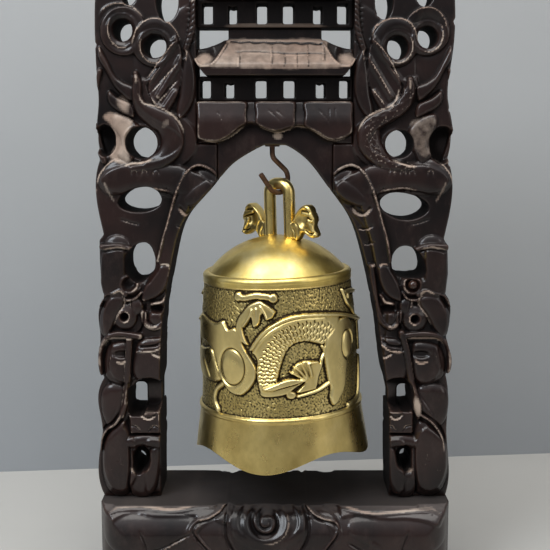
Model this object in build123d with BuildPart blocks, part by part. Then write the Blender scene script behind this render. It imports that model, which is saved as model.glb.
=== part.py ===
"""Temple bell of cast brass, hanging by a wire hook in a carved and pierced hardwood stand.

Frame: +Z up, the stand's front faces -Y, the origin is at the middle of the base's underside.
All sizes are in millimetres.
"""
from build123d import *
from math import cos, pi, radians, sin, sqrt
import os

os.makedirs("parts", exist_ok=True)

# ---------------------------------------------------------------- driving dimensions
fit_gap = 0.05  # clearance all round a dowel, tenon, shank or screw

# base
base_height = 84.0
base_width = 315.0
base_depth = 120.0
base_top_depth = 70.0
base_end_radius = 34.0
base_bulge_height = 34.0
foot_length = 62.0
apron_rise = 14.0
disc_radius = 33.0
disc_ring = 6.0
disc_x = -6.0
scroll_height = 1.6
scroll_width = 8.0

# uprights and the arched opening between them; heights are above the base's top
stand_half_width = 160.0
upright_core = 46.0
upright_depth = 60.0
opening_half = 104.0
apex_height = 320.0
shoulder_half = 51.0
tenon_length = 26.0
tenon_width = 34.0
tenon_thickness = 22.0
tenon_x = 128.0

# pagoda between the uprights
pagoda_half = 68.5
arch_crown = 38.0
arch_end = 37.0
arch_board_core = 40.0
arch_board_depth = 60.0
lower_tier_height = 22.0
middle_roof_height = 42.0
upper_tier_height = 24.0
tier_depth = 28.0
sill = 3.0
eave_height = 9.0
eave_depth = 60.0
ridge_depth = 16.0
ridge_height = 10.5
ridge_half = 41.0
eave_half = 60.0
tip_half = 74.5
top_roof_height = 41.0
finial_radius = 13.0
finial_height = 39.0
finial_spigot_radius = 5.0
finial_spigot_length = 14.0

# dowels and screws
dowel_radius = 4.0
dowel_length = 30.0
dowel_drops = (11.0, 23.0)
pin_radius = 2.5
pin_length = 12.0
pin_x = 25.0
screw_radius = 2.5
screw_head_radius = 4.5
screw_length = 78.0
screw_counterbore = 24.0

# hanging hook
wire_radius = 2.3
shank_x = -2.4
shank_y = -5.2
shank_depth = 17.0
hook_turn = 50.0
hook_neck = 11.0
hook_reach = 18.3
hook_drop = 41.5
hook_low_point = 8.1
washer_radius = 6.5
washer_thickness = 1.5

# bell; levels are along the bell's own axis, down from where the loop rests on the hook
bell_wall = 3.0
bell_tilt = 1.7
loop_offset = 4.15
lobe_count = 4
lobe_turn = -12.4
lobe_depth = 12.8
lip_level = 237.6
lip_radius = 79.9
waist_level = 143.0
waist_radius = 71.6
band_level = 193.0
band_radius = 1.3
body_top_level = 79.3
body_top_radius = 67.3
dome_level = 40.9
dome_radius = 62.0
dome_edge_level = 71.6
rim_tube = 4.0
rim_radius = 63.6
rim_lift = 0.4
loop_wire_radius = 5.5
loop_spacing = 22.0
loop_corner_radius = 9.0
loop_turn = -38.0
loop_rest_gap = 0.3
head_thickness = 9.0
crown_tenon_radius = 3.5
crown_pad_radius = 25.0
crown_pad_level = 49.4
crown_washer_radius = 6.5
crown_washer_thickness = 1.5
relief_height = 2.4
relief_radius = 72.0
rivet_head_radius = 5.0
rivet_head_height = 2.2

# dragon's eye
eye_radius = 4.0
eye_socket_depth = 6.0
eye_centre = (122, 197)

# ---------------------------------------------------------------- derived values
stand_z = base_height
opening_top = stand_z + apex_height
arch_board_top = apex_height + arch_crown
shoulder_height = arch_board_top - arch_end
arch_top = stand_z + arch_board_top
dowel_heights = [arch_board_top - drop for drop in dowel_drops]
middle_roof_z = arch_top + lower_tier_height
upper_tier_z = middle_roof_z + middle_roof_height
top_roof_z = upper_tier_z + upper_tier_height
finial_z = top_roof_z + top_roof_height
upright_face = upright_depth / 2
washer_z = opening_top - washer_thickness
hook_bottom = washer_z - hook_drop
rest_z = hook_bottom + wire_radius

hook_heading = radians(hook_turn)
rest_point = (
    shank_x + hook_low_point * sin(hook_heading),
    shank_y + hook_low_point * cos(hook_heading),
    rest_z,
)
tilt = radians(bell_tilt)
bell_plane = Plane(origin=rest_point, x_dir=(cos(tilt), 0, sin(tilt)), z_dir=(-sin(tilt), 0, cos(tilt)))


def front(x_points):
    """Points of a front elevation, given as (x, height above the base's top), on the XZ plane."""
    return [(x, stand_z + height) for x, height in x_points]


def facing(y):
    """The plane of a front elevation that lies at the given Y."""
    return Plane.XZ.offset(-y)


def save(part, name):
    """Labels one finished piece and writes its STEP file."""
    part.label = name
    export_step(part, f"parts/{name}.step")


# ---------------------------------------------------------------- base plinth
base_face = base_depth / 2
strip = base_top_depth / 2
bulge_z = base_height - base_bulge_height


def base_section(start_x, grow):
    """The base's end profile: flat top strip, a quarter-round bulge front and back, upright foot."""
    face = base_face + grow
    top = base_height + grow
    with BuildSketch(Plane.YZ.offset(start_x)) as section:
        with BuildLine():
            Line((-strip, top), (strip, top))
            EllipticalCenterArc((strip, bulge_z), face - strip, top - bulge_z, start_angle=0, arc_size=90)
            Polyline((face, bulge_z), (face, 0), (-face, 0), (-face, bulge_z))
            EllipticalCenterArc((-strip, bulge_z), face - strip, top - bulge_z, start_angle=90, arc_size=90)
        make_face()
    return section.sketch


# leafy scrolls either side of the spiral medallion, as (x, height above the floor)
scroll_lines = [
    [(-146, 77), (-123, 84), (-107, 82), (-80, 82), (-56, 80), (-40, 74)],
    [(-56, 78), (-66, 74), (-73, 66), (-72, 56)],
    [(28, 80), (40, 80), (50, 74), (54, 66), (52, 58)],
    [(58, 80), (76, 82), (96, 80), (114, 80), (134, 78), (148, 72)],
    [(-92, 52), (-104, 44), (-108, 30)],
    [(84, 54), (96, 44), (102, 30)],
]
hub_radius = 9.0

with BuildPart() as base_carving:
    with BuildSketch(facing(0)):
        with Locations((disc_x, bulge_z + (base_height - bulge_z) * 0.7)):
            Ellipse(disc_radius, disc_radius * 0.72)
            Ellipse(disc_radius - disc_ring, disc_radius * 0.72 - disc_ring, mode=Mode.SUBTRACT)
            Circle(hub_radius)
        for points in scroll_lines:
            with BuildLine() as scroll:
                Spline(*points)
            trace(scroll.line, scroll_width)
    extrude(amount=base_depth, both=True)
    extrude(base_section(-base_width / 2, scroll_height), amount=base_width, mode=Mode.INTERSECT)
    with BuildSketch(Plane.XY):
        RectangleRounded(base_width, base_depth + 2 * scroll_height, base_end_radius)
    extrude(amount=base_height, mode=Mode.INTERSECT)

with BuildPart() as base_plinth:
    extrude(base_section(-base_width / 2, 0), amount=base_width)
    with BuildSketch(Plane.XY):
        RectangleRounded(base_width, base_depth, base_end_radius)
    extrude(amount=base_height, mode=Mode.INTERSECT)
    add(base_carving.part)
    # the apron between the two bracket feet
    with BuildSketch(facing(0)):
        with BuildLine():
            apron_half = base_width / 2 - foot_length
            Polyline((apron_half, 0), (-apron_half, 0))
            Spline(
                (-apron_half, 0),
                (-apron_half * 0.55, apron_rise),
                (0, apron_rise * 0.7),
                (apron_half * 0.55, apron_rise),
                (apron_half, 0),
            )
        make_face()
    extrude(amount=base_depth, both=True, mode=Mode.SUBTRACT)
    # mortises and counterbored screw holes under each upright
    for side in (-1, 1):
        with BuildSketch(Plane.XY.offset(base_height)):
            with Locations((side * tenon_x, 0)):
                Rectangle(tenon_width + 2 * fit_gap, tenon_thickness + 2 * fit_gap)
        extrude(amount=-tenon_length - fit_gap, mode=Mode.SUBTRACT)
        with BuildSketch(Plane.XY):
            with Locations((side * tenon_x, 0)):
                Circle(screw_radius + fit_gap)
        extrude(amount=base_height - tenon_length, mode=Mode.SUBTRACT)
        with BuildSketch(Plane.XY):
            with Locations((side * tenon_x, 0)):
                Circle(screw_head_radius + fit_gap)
        extrude(amount=screw_counterbore, mode=Mode.SUBTRACT)
save(base_plinth.part, "base_plinth")

# ---------------------------------------------------------------- the arched opening
flat_half = washer_radius + abs(shank_x) + 0.6
# the intrados of each side, as (inset from the opening's half width, drop below the apex)
right_intrados = [(1, 225), (7, 193), (13, 150), (24, 101), (37, 64), (55, 39), (70, 19)]
left_intrados = [(1, 204), (5, 144), (13, 101), (24, 66), (45, 41), (65, 18), (81, 7)]

with BuildSketch(facing(0)) as opening:
    with BuildLine():
        for sign, intrados in ((1, right_intrados), (-1, left_intrados)):
            curve = [(sign * (opening_half - inset), apex_height - drop) for inset, drop in intrados]
            Polyline(*front([(0, 0), (sign * opening_half, 0), curve[0]]))
            Spline(*front([*curve, (sign * flat_half, apex_height)]))
            Line(*front([(sign * flat_half, apex_height), (0, apex_height)]))
    make_face()

# ---------------------------------------------------------------- uprights
# Each side: the outer edge as (inset from the widest line, height), then the see-through holes.
right_side = {
    "name": "right_upright",
    "sign": 1,
    "foot_edge": [(4, 0), (1, 17), (4, 64), (3, 89), (6, 114)],
    "face_edge": [(6, 114), (1, 126), (6, 147), (3, 167), (5, 184)],
    "collar_edge": [(5, 184), (8, 188), (6, 206), (7, 232), (10, 237)],
    "body_edge": [(10, 237), (5, 262), (4, 293), (7, 305)],
    "wing_edge": [(7, 305), (4, 322), (5, 340), (9, 360), (6, 396), (4, 431), (7, 458), (23, 486), (51, 499), (78, 490)],
    "feather_eyes": [((132, 413), (8.7, 9.5)), ((106, 404), (9, 10))],
    "round_hole": ((109, 321), 12.3),
    "lens": [(94, 273), (114, 278), (136, 265), (115, 254)],
    "arm_hole": [(105, 223), (116, 231), (132, 218), (132, 204), (122, 202), (112, 203)],
    "slot": ((118, 91), (12, 21)),
    "chip": ((119.5, 32), (4.5, 8)),
    "top_holes": [((94, 443), (7.7, 15)), ((129, 454), (8.7, 15))],
    "pockets": [((147, 320), (11, 16)), ((110.5, 97), (14, 15)), ((117, 38), (6.5, 11))],
}
left_side = {
    "name": "left_upright",
    "sign": -1,
    "foot_edge": [(4, 0), (0, 11), (0, 41), (3, 64), (0, 85), (6, 111)],
    "face_edge": [(6, 111), (1, 124), (3, 147), (2, 172), (8, 185)],
    "collar_edge": [(8, 185), (5, 198), (4, 218), (4, 236), (8, 241)],
    "body_edge": [(8, 241), (3, 266), (2, 290), (6, 307)],
    "wing_edge": [(6, 307), (3, 328), (6, 360), (5, 378), (4, 405), (4, 431), (7, 458), (23, 486), (51, 499), (78, 490)],
    "feather_eyes": [((132, 419), (8.4, 9.5)), ((104, 405), (10, 9.7))],
    "round_hole": ((117, 322), 13.8),
    "lens": [(101, 276), (120, 283), (139, 269), (120, 261)],
    "arm_hole": [(107, 222), (117, 234), (133, 218), (122, 198), (111, 205)],
    "slot": ((125, 90), (15, 27)),
    "chip": ((124, 30), (5, 8)),
    "top_holes": [((93, 444), (9.7, 18)), ((126, 454), (7.7, 14))],
    "pockets": [((149, 324), (9, 13)), ((114, 96), (15, 16)), ((121, 36), (7.5, 11))],
}
edge_names = ("foot_edge", "face_edge", "collar_edge", "body_edge", "wing_edge")

# Relief shared by both sides, as distances from the middle plane and heights.
tail_line = [(117, 378), (113, 358), (101, 348), (86, 340), (76, 330), (75, 319), (83, 309), (96, 302), (114, 299)]
body_outline = [(54, 285), (69, 296), (87, 302), (113, 303), (143, 299), (153, 290), (142, 279), (109, 277), (83, 270), (61, 270)]
neck_outline = [(71, 270), (87, 274), (93, 254), (99, 237), (103, 217), (98, 188), (90, 208), (84, 236), (74, 254)]
head_outline = [
    (98, 176), (97, 196), (103, 208), (112, 198), (124, 201), (142, 192), (152, 173), (151, 153),
    (146, 141), (148, 121), (134, 108), (117, 113), (100, 110), (97, 130), (99, 153),
]
strand_line = [(118, 147), (123, 100), (143, 66), (151, 47)]
drop_centre = (140, 37)
drop_size = (16, 30)
claw_centre = (109, 30)
claw_size = (17, 51)
wing_bars = [[(84, 412), (110, 374)], [(80, 396), (102, 360)], [(85, 367), (95, 353)]]
feather_band = 5.0
tail_width = 13.0
strand_width = 9.0
collar_centre = (144, 211)
collar_size = (22, 45)
claw_corner = 6
collar_corner = 4
shoulder_drop = 12
pocket_depth = 22.0


def mirrored(points, sign):
    """Points (x, height) taken to one side of the middle plane, in the front elevation."""
    return front([(sign * x, height) for x, height in points])


def upright_outline(side):
    """The closed front outline of one upright, without its holes and the arched opening."""
    sign = side["sign"]
    with BuildSketch(facing(0)) as outline:
        with BuildLine():
            for edge in edge_names:
                points = [(stand_half_width - inset, height) for inset, height in side[edge]]
                if edge == "collar_edge":
                    Polyline(*mirrored(points, sign))
                else:
                    Spline(*mirrored(points, sign))
            top_end = (stand_half_width - side["wing_edge"][-1][0], side["wing_edge"][-1][1])
            foot_end = (stand_half_width - side["foot_edge"][0][0], 0)
            Polyline(
                *mirrored([
                    top_end,
                    (pagoda_half, top_end[1] - shoulder_drop),
                    (pagoda_half, shoulder_height),
                    (shoulder_half, shoulder_height),
                    (shoulder_half, 0),
                    foot_end,
                ], sign)
            )
        make_face()
        add(opening.sketch, mode=Mode.SUBTRACT)
    return outline.sketch


def upright_relief(side, outline):
    """The raised carving on an upright's face, kept inside its outline."""
    sign = side["sign"]
    with BuildSketch(facing(0)) as relief:
        for points in (body_outline, neck_outline, head_outline):
            with BuildLine():
                Spline(*mirrored(points, sign), periodic=True)
            make_face()
        for points, width in ((tail_line, tail_width), (strand_line, strand_width)):
            with BuildLine() as line:
                Spline(*mirrored(points, sign))
            trace(line.line, width)
        for points in wing_bars:
            with BuildLine() as line:
                Line(*mirrored(points, sign))
            trace(line.line, feather_band)
        for centre, radii in side["feather_eyes"]:
            with Locations(*mirrored([centre], sign)):
                Ellipse(radii[0] + feather_band, radii[1] + feather_band)
        with Locations(*mirrored([drop_centre], sign)):
            Ellipse(*drop_size)
        with Locations(*mirrored([claw_centre], sign)):
            RectangleRounded(*claw_size, claw_corner)
        with Locations(*mirrored([collar_centre], sign)):
            RectangleRounded(*collar_size, collar_corner)
        add(outline, mode=Mode.INTERSECT)
    return relief.sketch


def upright_holes(side):
    """The see-through holes of one upright."""
    sign = side["sign"]
    with BuildSketch(facing(0)) as holes:
        for centre, radii in side["feather_eyes"]:
            with Locations(*mirrored([centre], sign)):
                Ellipse(*radii)
        for key in ("lens", "arm_hole"):
            with BuildLine():
                Spline(*mirrored(side[key], sign), periodic=True)
            make_face()
        centre, radius = side["round_hole"]
        with Locations(*mirrored([centre], sign)):
            Circle(radius)
        centre, size = side["slot"]
        with Locations(*mirrored([centre], sign)):
            RectangleRounded(*size, 4)
        for centre, radii in [side["chip"], *side["top_holes"]]:
            with Locations(*mirrored([centre], sign)):
                Ellipse(*radii)
    return holes.sketch



def upright(side):
    """One carved upright: pierced board with relief on both faces, a tenon and dowel holes."""
    sign = side["sign"]
    outline = upright_outline(side)
    relief = upright_relief(side, outline)
    holes = upright_holes(side)
    with BuildPart() as board:
        extrude(outline, amount=upright_core / 2, both=True)
        extrude(relief, amount=upright_face, both=True)
        extrude(holes, amount=upright_depth, both=True, mode=Mode.SUBTRACT)
        # deep pockets, cut from both faces down to a web
        for y in (-upright_face, upright_face):
            with BuildSketch(facing(y)):
                for centre, radii in side["pockets"]:
                    with Locations(*mirrored([centre], sign)):
                        Ellipse(*radii)
            extrude(amount=pocket_depth, both=True, mode=Mode.SUBTRACT)
        # the dragon's eye socket
        with BuildSketch(facing(-upright_face)):
            with Locations(*mirrored([eye_centre], sign)):
                Circle(eye_radius + fit_gap)
        extrude(amount=-eye_socket_depth, mode=Mode.SUBTRACT)
        # the tenon, with the pilot hole of its screw
        with BuildSketch(Plane.XY.offset(stand_z)):
            with Locations((sign * tenon_x, 0)):
                Rectangle(tenon_width, tenon_thickness)
        extrude(amount=-tenon_length)
        with BuildSketch(Plane.XY.offset(stand_z - tenon_length)):
            with Locations((sign * tenon_x, 0)):
                Circle(screw_radius + fit_gap)
        extrude(amount=screw_length, mode=Mode.SUBTRACT)
        # the dowel holes towards the arch board
        for height in dowel_heights:
            with BuildSketch(Plane.YZ.offset(sign * pagoda_half)):
                with Locations((0, stand_z + height)):
                    Circle(dowel_radius + fit_gap)
            extrude(amount=sign * (dowel_length / 2 + fit_gap), mode=Mode.SUBTRACT)
    return board.part


for side in (left_side, right_side):
    save(upright(side), side["name"])

# ---------------------------------------------------------------- the dragon's eye bead
with BuildPart() as right_eye_bead:
    with BuildSketch(Plane.XY):
        with BuildLine():
            CenterArc((0, 0), eye_radius, -90, 180)
            Line((0, eye_radius), (0, -eye_radius))
        make_face()
    revolve(axis=Axis.Y)
bead_place = Location((eye_centre[0], -upright_face + eye_socket_depth - eye_radius, stand_z + eye_centre[1]))
save(right_eye_bead.part.moved(bead_place), "right_eye_bead")

# ---------------------------------------------------------------- arch board
arch_half_depth = arch_board_depth / 2
# the swagged edge of the lowest roof, as (x, drop below the board's top)
swag_line = [
    (-67.5, 32), (-55, 36), (-40, 30), (-26, 20), (-17, 20), (-3, 26),
    (16, 22), (28, 23), (37, 29), (47, 34), (56, 33), (67.5, 27),
]
eave_run = 18.0

with BuildPart() as arch_board:
    with BuildSketch(facing(0)):
        with BuildLine():
            Polyline(
                *front([
                    (-pagoda_half, arch_board_top),
                    (pagoda_half, arch_board_top),
                    (pagoda_half, shoulder_height),
                    (shoulder_half, shoulder_height),
                    (shoulder_half, apex_height / 2),
                    (-shoulder_half, apex_height / 2),
                    (-shoulder_half, shoulder_height),
                    (-pagoda_half, shoulder_height),
                ]),
                close=True,
            )
        make_face()
        add(opening.sketch, mode=Mode.SUBTRACT)
    extrude(amount=arch_board_core / 2, both=True)
    # the lowest roof: a tiled sheet with a swagged lower edge, sloping out on both faces
    with BuildSketch(facing(0)):
        with BuildLine():
            swags = [(x, arch_board_top - drop) for x, drop in swag_line]
            Spline(*front(swags))
            Polyline(
                *front([swags[-1], (swags[-1][0], arch_board_top), (swags[0][0], arch_board_top), swags[0]])
            )
        make_face()
    extrude(amount=arch_half_depth, both=True)
    for sign in (-1, 1):
        with BuildSketch(Plane.YZ.offset(-pagoda_half)):
            with BuildLine():
                Polyline(
                    (sign * arch_board_core / 2, arch_top),
                    (sign * arch_half_depth, arch_top - eave_run),
                    (sign * (arch_half_depth + 2), arch_top + 2),
                    close=True,
                )
            make_face()
        extrude(amount=2 * pagoda_half, mode=Mode.SUBTRACT)
    with BuildSketch(Plane.XY.offset(opening_top)):
        with Locations((shank_x, shank_y)):
            Circle(wire_radius + fit_gap)
    extrude(amount=shank_depth + fit_gap, mode=Mode.SUBTRACT)
    for sign in (-1, 1):
        for height in dowel_heights:
            with BuildSketch(Plane.YZ.offset(sign * pagoda_half)):
                with Locations((0, stand_z + height)):
                    Circle(dowel_radius + fit_gap)
            extrude(amount=-sign * (dowel_length / 2 + fit_gap), mode=Mode.SUBTRACT)
        with BuildSketch(Plane.XY.offset(arch_top)):
            with Locations((sign * pin_x, 0)):
                Circle(pin_radius + fit_gap)
        extrude(amount=-pin_length / 2 - fit_gap, mode=Mode.SUBTRACT)
save(arch_board.part, "arch_board")


# ---------------------------------------------------------------- colonnades
def colonnade(z, height, gates):
    """A pierced tier of the pagoda. Each gate is (x, width, arched) on both sides of the middle."""
    with BuildPart() as tier:
        with BuildSketch(Plane.XY.offset(z)):
            Rectangle(2 * pagoda_half, tier_depth)
        extrude(amount=height)
        clear = height - 2 * sill
        for x, width, arched in gates:
            for sign in (-1, 1):
                with BuildSketch(facing(0)):
                    with Locations((sign * x, z + sill + clear / 2)):
                        Rectangle(width, clear)
                    if arched:
                        with Locations((sign * x, z + sill + clear)):
                            Circle(width / 2, mode=Mode.SUBTRACT)
                extrude(amount=tier_depth, both=True, mode=Mode.SUBTRACT)
        for sign in (-1, 1):
            for end_z in (z, z + height):
                with BuildSketch(Plane.XY.offset(end_z)):
                    with Locations((sign * pin_x, 0)):
                        Circle(pin_radius + fit_gap)
                extrude(amount=pin_length / 2 + fit_gap, both=True, mode=Mode.SUBTRACT)
    return tier.part


lower_gates = [(61.0, 9.0, False), (40.0, 8.0, True), (12.5, 10.0, False)]
upper_gates = [(59.0, 9.5, False), (37.0, 7.5, True), (11.5, 9.0, False)]
save(colonnade(arch_top, lower_tier_height, lower_gates), "lower_colonnade")
save(colonnade(upper_tier_z, upper_tier_height, upper_gates), "upper_colonnade")


# ---------------------------------------------------------------- roofs
def roof(z, height, seat_radius, seat_xs, seat_depth):
    """A tiled roof: hollow slopes front and back, upturned eave ends and a ridge block."""
    tip_z = z + height * 0.56
    shoulder_z = z + height - ridge_height
    eave_y = eave_depth / 2
    ridge_y = ridge_depth / 2
    with BuildPart() as tiles:
        with BuildSketch(Plane.YZ.offset(-tip_half)):
            with BuildLine():
                for sign in (-1, 1):
                    Polyline((0, z), (sign * eave_y, z), (sign * eave_y, z + eave_height))
                    Spline(
                        (sign * eave_y, z + eave_height),
                        (sign * eave_y * 0.72, z + height * 0.42),
                        (sign * (ridge_y + 3), shoulder_z),
                    )
                    Polyline(
                        (sign * (ridge_y + 3), shoulder_z),
                        (sign * ridge_y, shoulder_z),
                        (sign * ridge_y, z + height),
                        (0, z + height),
                    )
            make_face()
        extrude(amount=2 * tip_half)
        with BuildSketch(facing(0)):
            with BuildLine():
                for sign in (-1, 1):
                    Line((0, z), (sign * eave_half, z))
                    Spline(
                        (sign * eave_half, z),
                        (sign * (eave_half + tip_half) / 2, z + height * 0.22),
                        (sign * tip_half, tip_z),
                    )
                    Spline(
                        (sign * tip_half, tip_z),
                        (sign * (tip_half + ridge_half) / 2, z + height * 0.6),
                        (sign * (ridge_half + 3), shoulder_z),
                    )
                    Polyline(
                        (sign * (ridge_half + 3), shoulder_z),
                        (sign * ridge_half, shoulder_z),
                        (sign * ridge_half, z + height),
                        (0, z + height),
                    )
            make_face()
        extrude(amount=eave_depth, both=True, mode=Mode.INTERSECT)
        # the eave ends lap over the uprights' front and rear faces
        lap = tip_half - pagoda_half + 1
        for sign in (-1, 1):
            with BuildSketch(Plane.XY.offset(z)):
                with Locations((sign * (pagoda_half - fit_gap + lap / 2), 0)):
                    Rectangle(lap, upright_core + 2 * fit_gap)
            extrude(amount=height, mode=Mode.SUBTRACT)
        with BuildSketch(Plane.XY.offset(z)):
            with Locations((-pin_x, 0), (pin_x, 0)):
                Circle(pin_radius + fit_gap)
        extrude(amount=pin_length / 2 + fit_gap, mode=Mode.SUBTRACT)
        with BuildSketch(Plane.XY.offset(z + height)):
            with Locations(*[(x, 0) for x in seat_xs]):
                Circle(seat_radius + fit_gap)
        extrude(amount=-seat_depth - fit_gap, mode=Mode.SUBTRACT)
    return tiles.part


middle_roof = roof(middle_roof_z, middle_roof_height, pin_radius, (-pin_x, pin_x), pin_length / 2)
save(middle_roof, "middle_roof")
top_roof = roof(top_roof_z, top_roof_height, finial_spigot_radius, (0,), finial_spigot_length)
save(top_roof, "top_roof")

# ---------------------------------------------------------------- roof finial
with BuildPart() as roof_finial:
    with BuildSketch(Plane.XZ):
        with BuildLine():
            Polyline(
                (0, finial_z - finial_spigot_length),
                (finial_spigot_radius, finial_z - finial_spigot_length),
                (finial_spigot_radius, finial_z),
                (ridge_depth / 2, finial_z),
                (ridge_depth / 2, finial_z + 4),
            )
            Spline(
                (ridge_depth / 2, finial_z + 4),
                (finial_radius * 0.45, finial_z + finial_height * 0.2),
                (finial_radius, finial_z + finial_height * 0.45),
                (finial_radius * 0.5, finial_z + finial_height * 0.75),
                (0, finial_z + finial_height),
            )
            Line((0, finial_z + finial_height), (0, finial_z - finial_spigot_length))
        make_face()
    revolve(axis=Axis.Z)
save(roof_finial.part, "roof_finial")

# ---------------------------------------------------------------- screws, dowels and pins
with BuildPart() as base_screws:
    for side in (-1, 1):
        with BuildSketch(Plane.XY.offset(screw_counterbore)):
            with Locations((side * tenon_x, 0)):
                Circle(screw_radius)
        extrude(amount=screw_length)
        with BuildSketch(Plane.XY.offset(screw_counterbore)):
            with Locations((side * tenon_x, 0)):
                Circle(screw_head_radius)
        extrude(amount=-3)
save(base_screws.part, "base_screws")

with BuildPart() as arch_dowels:
    for side in (-1, 1):
        for height in dowel_heights:
            with BuildSketch(Plane.YZ.offset(side * pagoda_half)):
                with Locations((0, stand_z + height)):
                    Circle(dowel_radius)
            extrude(amount=dowel_length / 2, both=True)
save(arch_dowels.part, "arch_dowels")

with BuildPart() as pagoda_pins:
    for z in (arch_top, middle_roof_z, upper_tier_z, top_roof_z):
        with BuildSketch(Plane.XY.offset(z)):
            with Locations((-pin_x, 0), (pin_x, 0)):
                Circle(pin_radius)
        extrude(amount=pin_length / 2, both=True)
save(pagoda_pins.part, "pagoda_pins")

# ---------------------------------------------------------------- hanging hook
shank_top = opening_top + shank_depth
hook_plane = Plane(
    origin=(shank_x, shank_y, 0),
    x_dir=(-sin(hook_heading), -cos(hook_heading), 0),
    z_dir=(-cos(hook_heading), sin(hook_heading), 0),
)

with BuildPart() as hanging_hook:
    with BuildLine(hook_plane):
        FilletPolyline(
            (0, shank_top),
            (0, opening_top - hook_neck),
            (-hook_reach, opening_top - hook_neck - 14),
            (-hook_reach, hook_bottom),
            (-1, hook_bottom),
            (13.2, hook_bottom + 17),
            radius=[8, 10, hook_reach - hook_low_point - 0.3, 12],
        )
    with BuildSketch(Plane(origin=(shank_x, shank_y, shank_top), z_dir=(0, 0, -1))):
        Circle(wire_radius)
    sweep()
save(hanging_hook.part, "hanging_hook")

with BuildPart() as hook_washer:
    with BuildSketch(Plane.XY.offset(opening_top)):
        with Locations((shank_x, shank_y)):
            Circle(washer_radius)
            Circle(wire_radius + fit_gap, mode=Mode.SUBTRACT)
    extrude(amount=-washer_thickness)
save(hook_washer.part, "hook_washer")


# ---------------------------------------------------------------- bell
bell_hang = Location(bell_plane)
bell_axis = Axis((-loop_offset, 0, 0), (0, 0, 1))


def hang(part, name):
    """Places a piece drawn upright under the resting point as the bell hangs, and saves it."""
    save(part.moved(bell_hang), name)


def ring_section(points):
    """Takes section points (radius, level below the resting point) to the bell's own XZ plane."""
    return [(radius - loop_offset, -level) for radius, level in points]


lip_mean = lip_level - lobe_depth / 2
outer_wall = [
    (body_top_radius, body_top_level),
    (waist_radius - 1.2, body_top_level + 30),
    (waist_radius, waist_level),
    (waist_radius + 1.5, band_level - 6),
    (lip_radius - 2.3, lip_mean - 10),
    (lip_radius, lip_level),
]
inner_wall = [(radius - bell_wall, level) for radius, level in reversed(outer_wall)]
section_plane = Plane.XZ

# The cast dragon's main forms, as (distance round the wall from the front, level).
dragon_body = [
    (-23, 130), (-16, 118), (-6, 110), (7, 104), (21, 102), (40, 103), (58, 107), (57, 114), (47, 121), (40, 129),
    (30, 126), (17, 125), (8, 130), (1, 144), (-2, 156), (-4, 166), (-16, 168), (-20, 152), (-19, 140),
]
dragon_shoulder = [
    (58, 116), (49, 122), (44, 132), (43, 146), (46, 166), (45, 176), (50, 182), (58, 174), (64, 162), (69, 146), (70, 128),
]
dragon_thigh = ((-43, 147), (9, 13))
dragon_leg = [(-60, 112), (-47, 118), (-37, 127), (-29, 138), (-26, 149), (-29, 160), (-37, 167), (-47, 167)]
dragon_arm = [(-24, 94), (-31, 101), (-35, 109), (-33, 117), (-28, 125)]
dragon_tail = [(-12, 163), (0, 159), (12, 157), (24, 158)]
dragon_foot = [(14, 171), (24, 170), (34, 168), (43, 164)]
dragon_claw = [(-38, 86), (-30, 88), (-21, 86), (-12, 86), (-2, 88)]
limb_lines = [(dragon_leg, 9.0), (dragon_arm, 9.0), (dragon_tail, 6.0), (dragon_foot, 5.0), (dragon_claw, 5.0)]


def on_wall(points):
    """Points (distance round the wall, level) seen from the front, in the bell's own XZ plane."""
    return [(relief_radius * sin(u / relief_radius) - loop_offset, -level) for u, level in points]


def wall_section(grow):
    """The wall between its top and its lip, grown outward."""
    with BuildSketch(section_plane) as section:
        with BuildLine():
            Spline(*ring_section([(radius + grow, level) for radius, level in outer_wall]))
            Line(*ring_section([(outer_wall[-1][0] + grow, lip_level), inner_wall[0]]))
            Spline(*ring_section(inner_wall))
            Line(*ring_section([inner_wall[-1], (outer_wall[0][0] + grow, body_top_level)]))
        make_face()
    return section.sketch


with BuildPart() as dragon:
    with BuildSketch(section_plane):
        for outline in (dragon_body, dragon_shoulder):
            with BuildLine():
                Spline(*on_wall(outline), periodic=True)
            make_face()
        for points, width in limb_lines:
            with BuildLine() as limb:
                Spline(*on_wall(points))
            trace(limb.line, width)
        with Locations(*on_wall([dragon_thigh[0]])):
            Ellipse(*dragon_thigh[1])
    extrude(amount=lip_radius, both=True)
    revolve(wall_section(relief_height), axis=bell_axis, mode=Mode.INTERSECT)

with BuildPart() as bell_body:
    add(wall_section(0))
    with BuildSketch(section_plane):
        with Locations(*ring_section([(waist_radius + 2, band_level)])):
            Circle(band_radius)
    revolve(axis=bell_axis)
    add(dragon.part)
    # the lip is cut in four hollows between rounded lobes
    half_valley = lip_radius * sin(pi / lobe_count)
    for lobe in range(lobe_count):
        heading = radians(lobe_turn + 360 / lobe_count * (lobe + 0.5))
        valley_plane = Plane(
            origin=(-loop_offset, 0, 0),
            x_dir=(-sin(heading), cos(heading), 0),
            z_dir=(cos(heading), sin(heading), 0),
        )
        with BuildSketch(valley_plane):
            with BuildLine():
                Spline(
                    (-half_valley, -lip_level),
                    (-half_valley * 0.54, -lip_mean),
                    (0, lobe_depth - lip_level),
                    (half_valley * 0.54, -lip_mean),
                    (half_valley, -lip_level),
                    tangents=[(1, 0), (1, 0)],
                )
                Polyline(
                    (half_valley, -lip_level),
                    (half_valley, -lip_level - 5),
                    (-half_valley, -lip_level - 5),
                    (-half_valley, -lip_level),
                )
            make_face()
        extrude(amount=lip_radius * 1.3, mode=Mode.SUBTRACT)
hang(bell_body.part, "bell_body")

dome_rise = dome_edge_level - dome_level
dome_curve = (dome_radius ** 2 + dome_rise ** 2) / (2 * dome_rise)
inner_dome_radius = dome_radius - bell_wall
dome_mid = dome_radius * 0.6


def dome_drop(radius):
    """How far the dome's outer face lies below its top at the given radius."""
    return dome_curve - sqrt(dome_curve ** 2 - radius ** 2)


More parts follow.
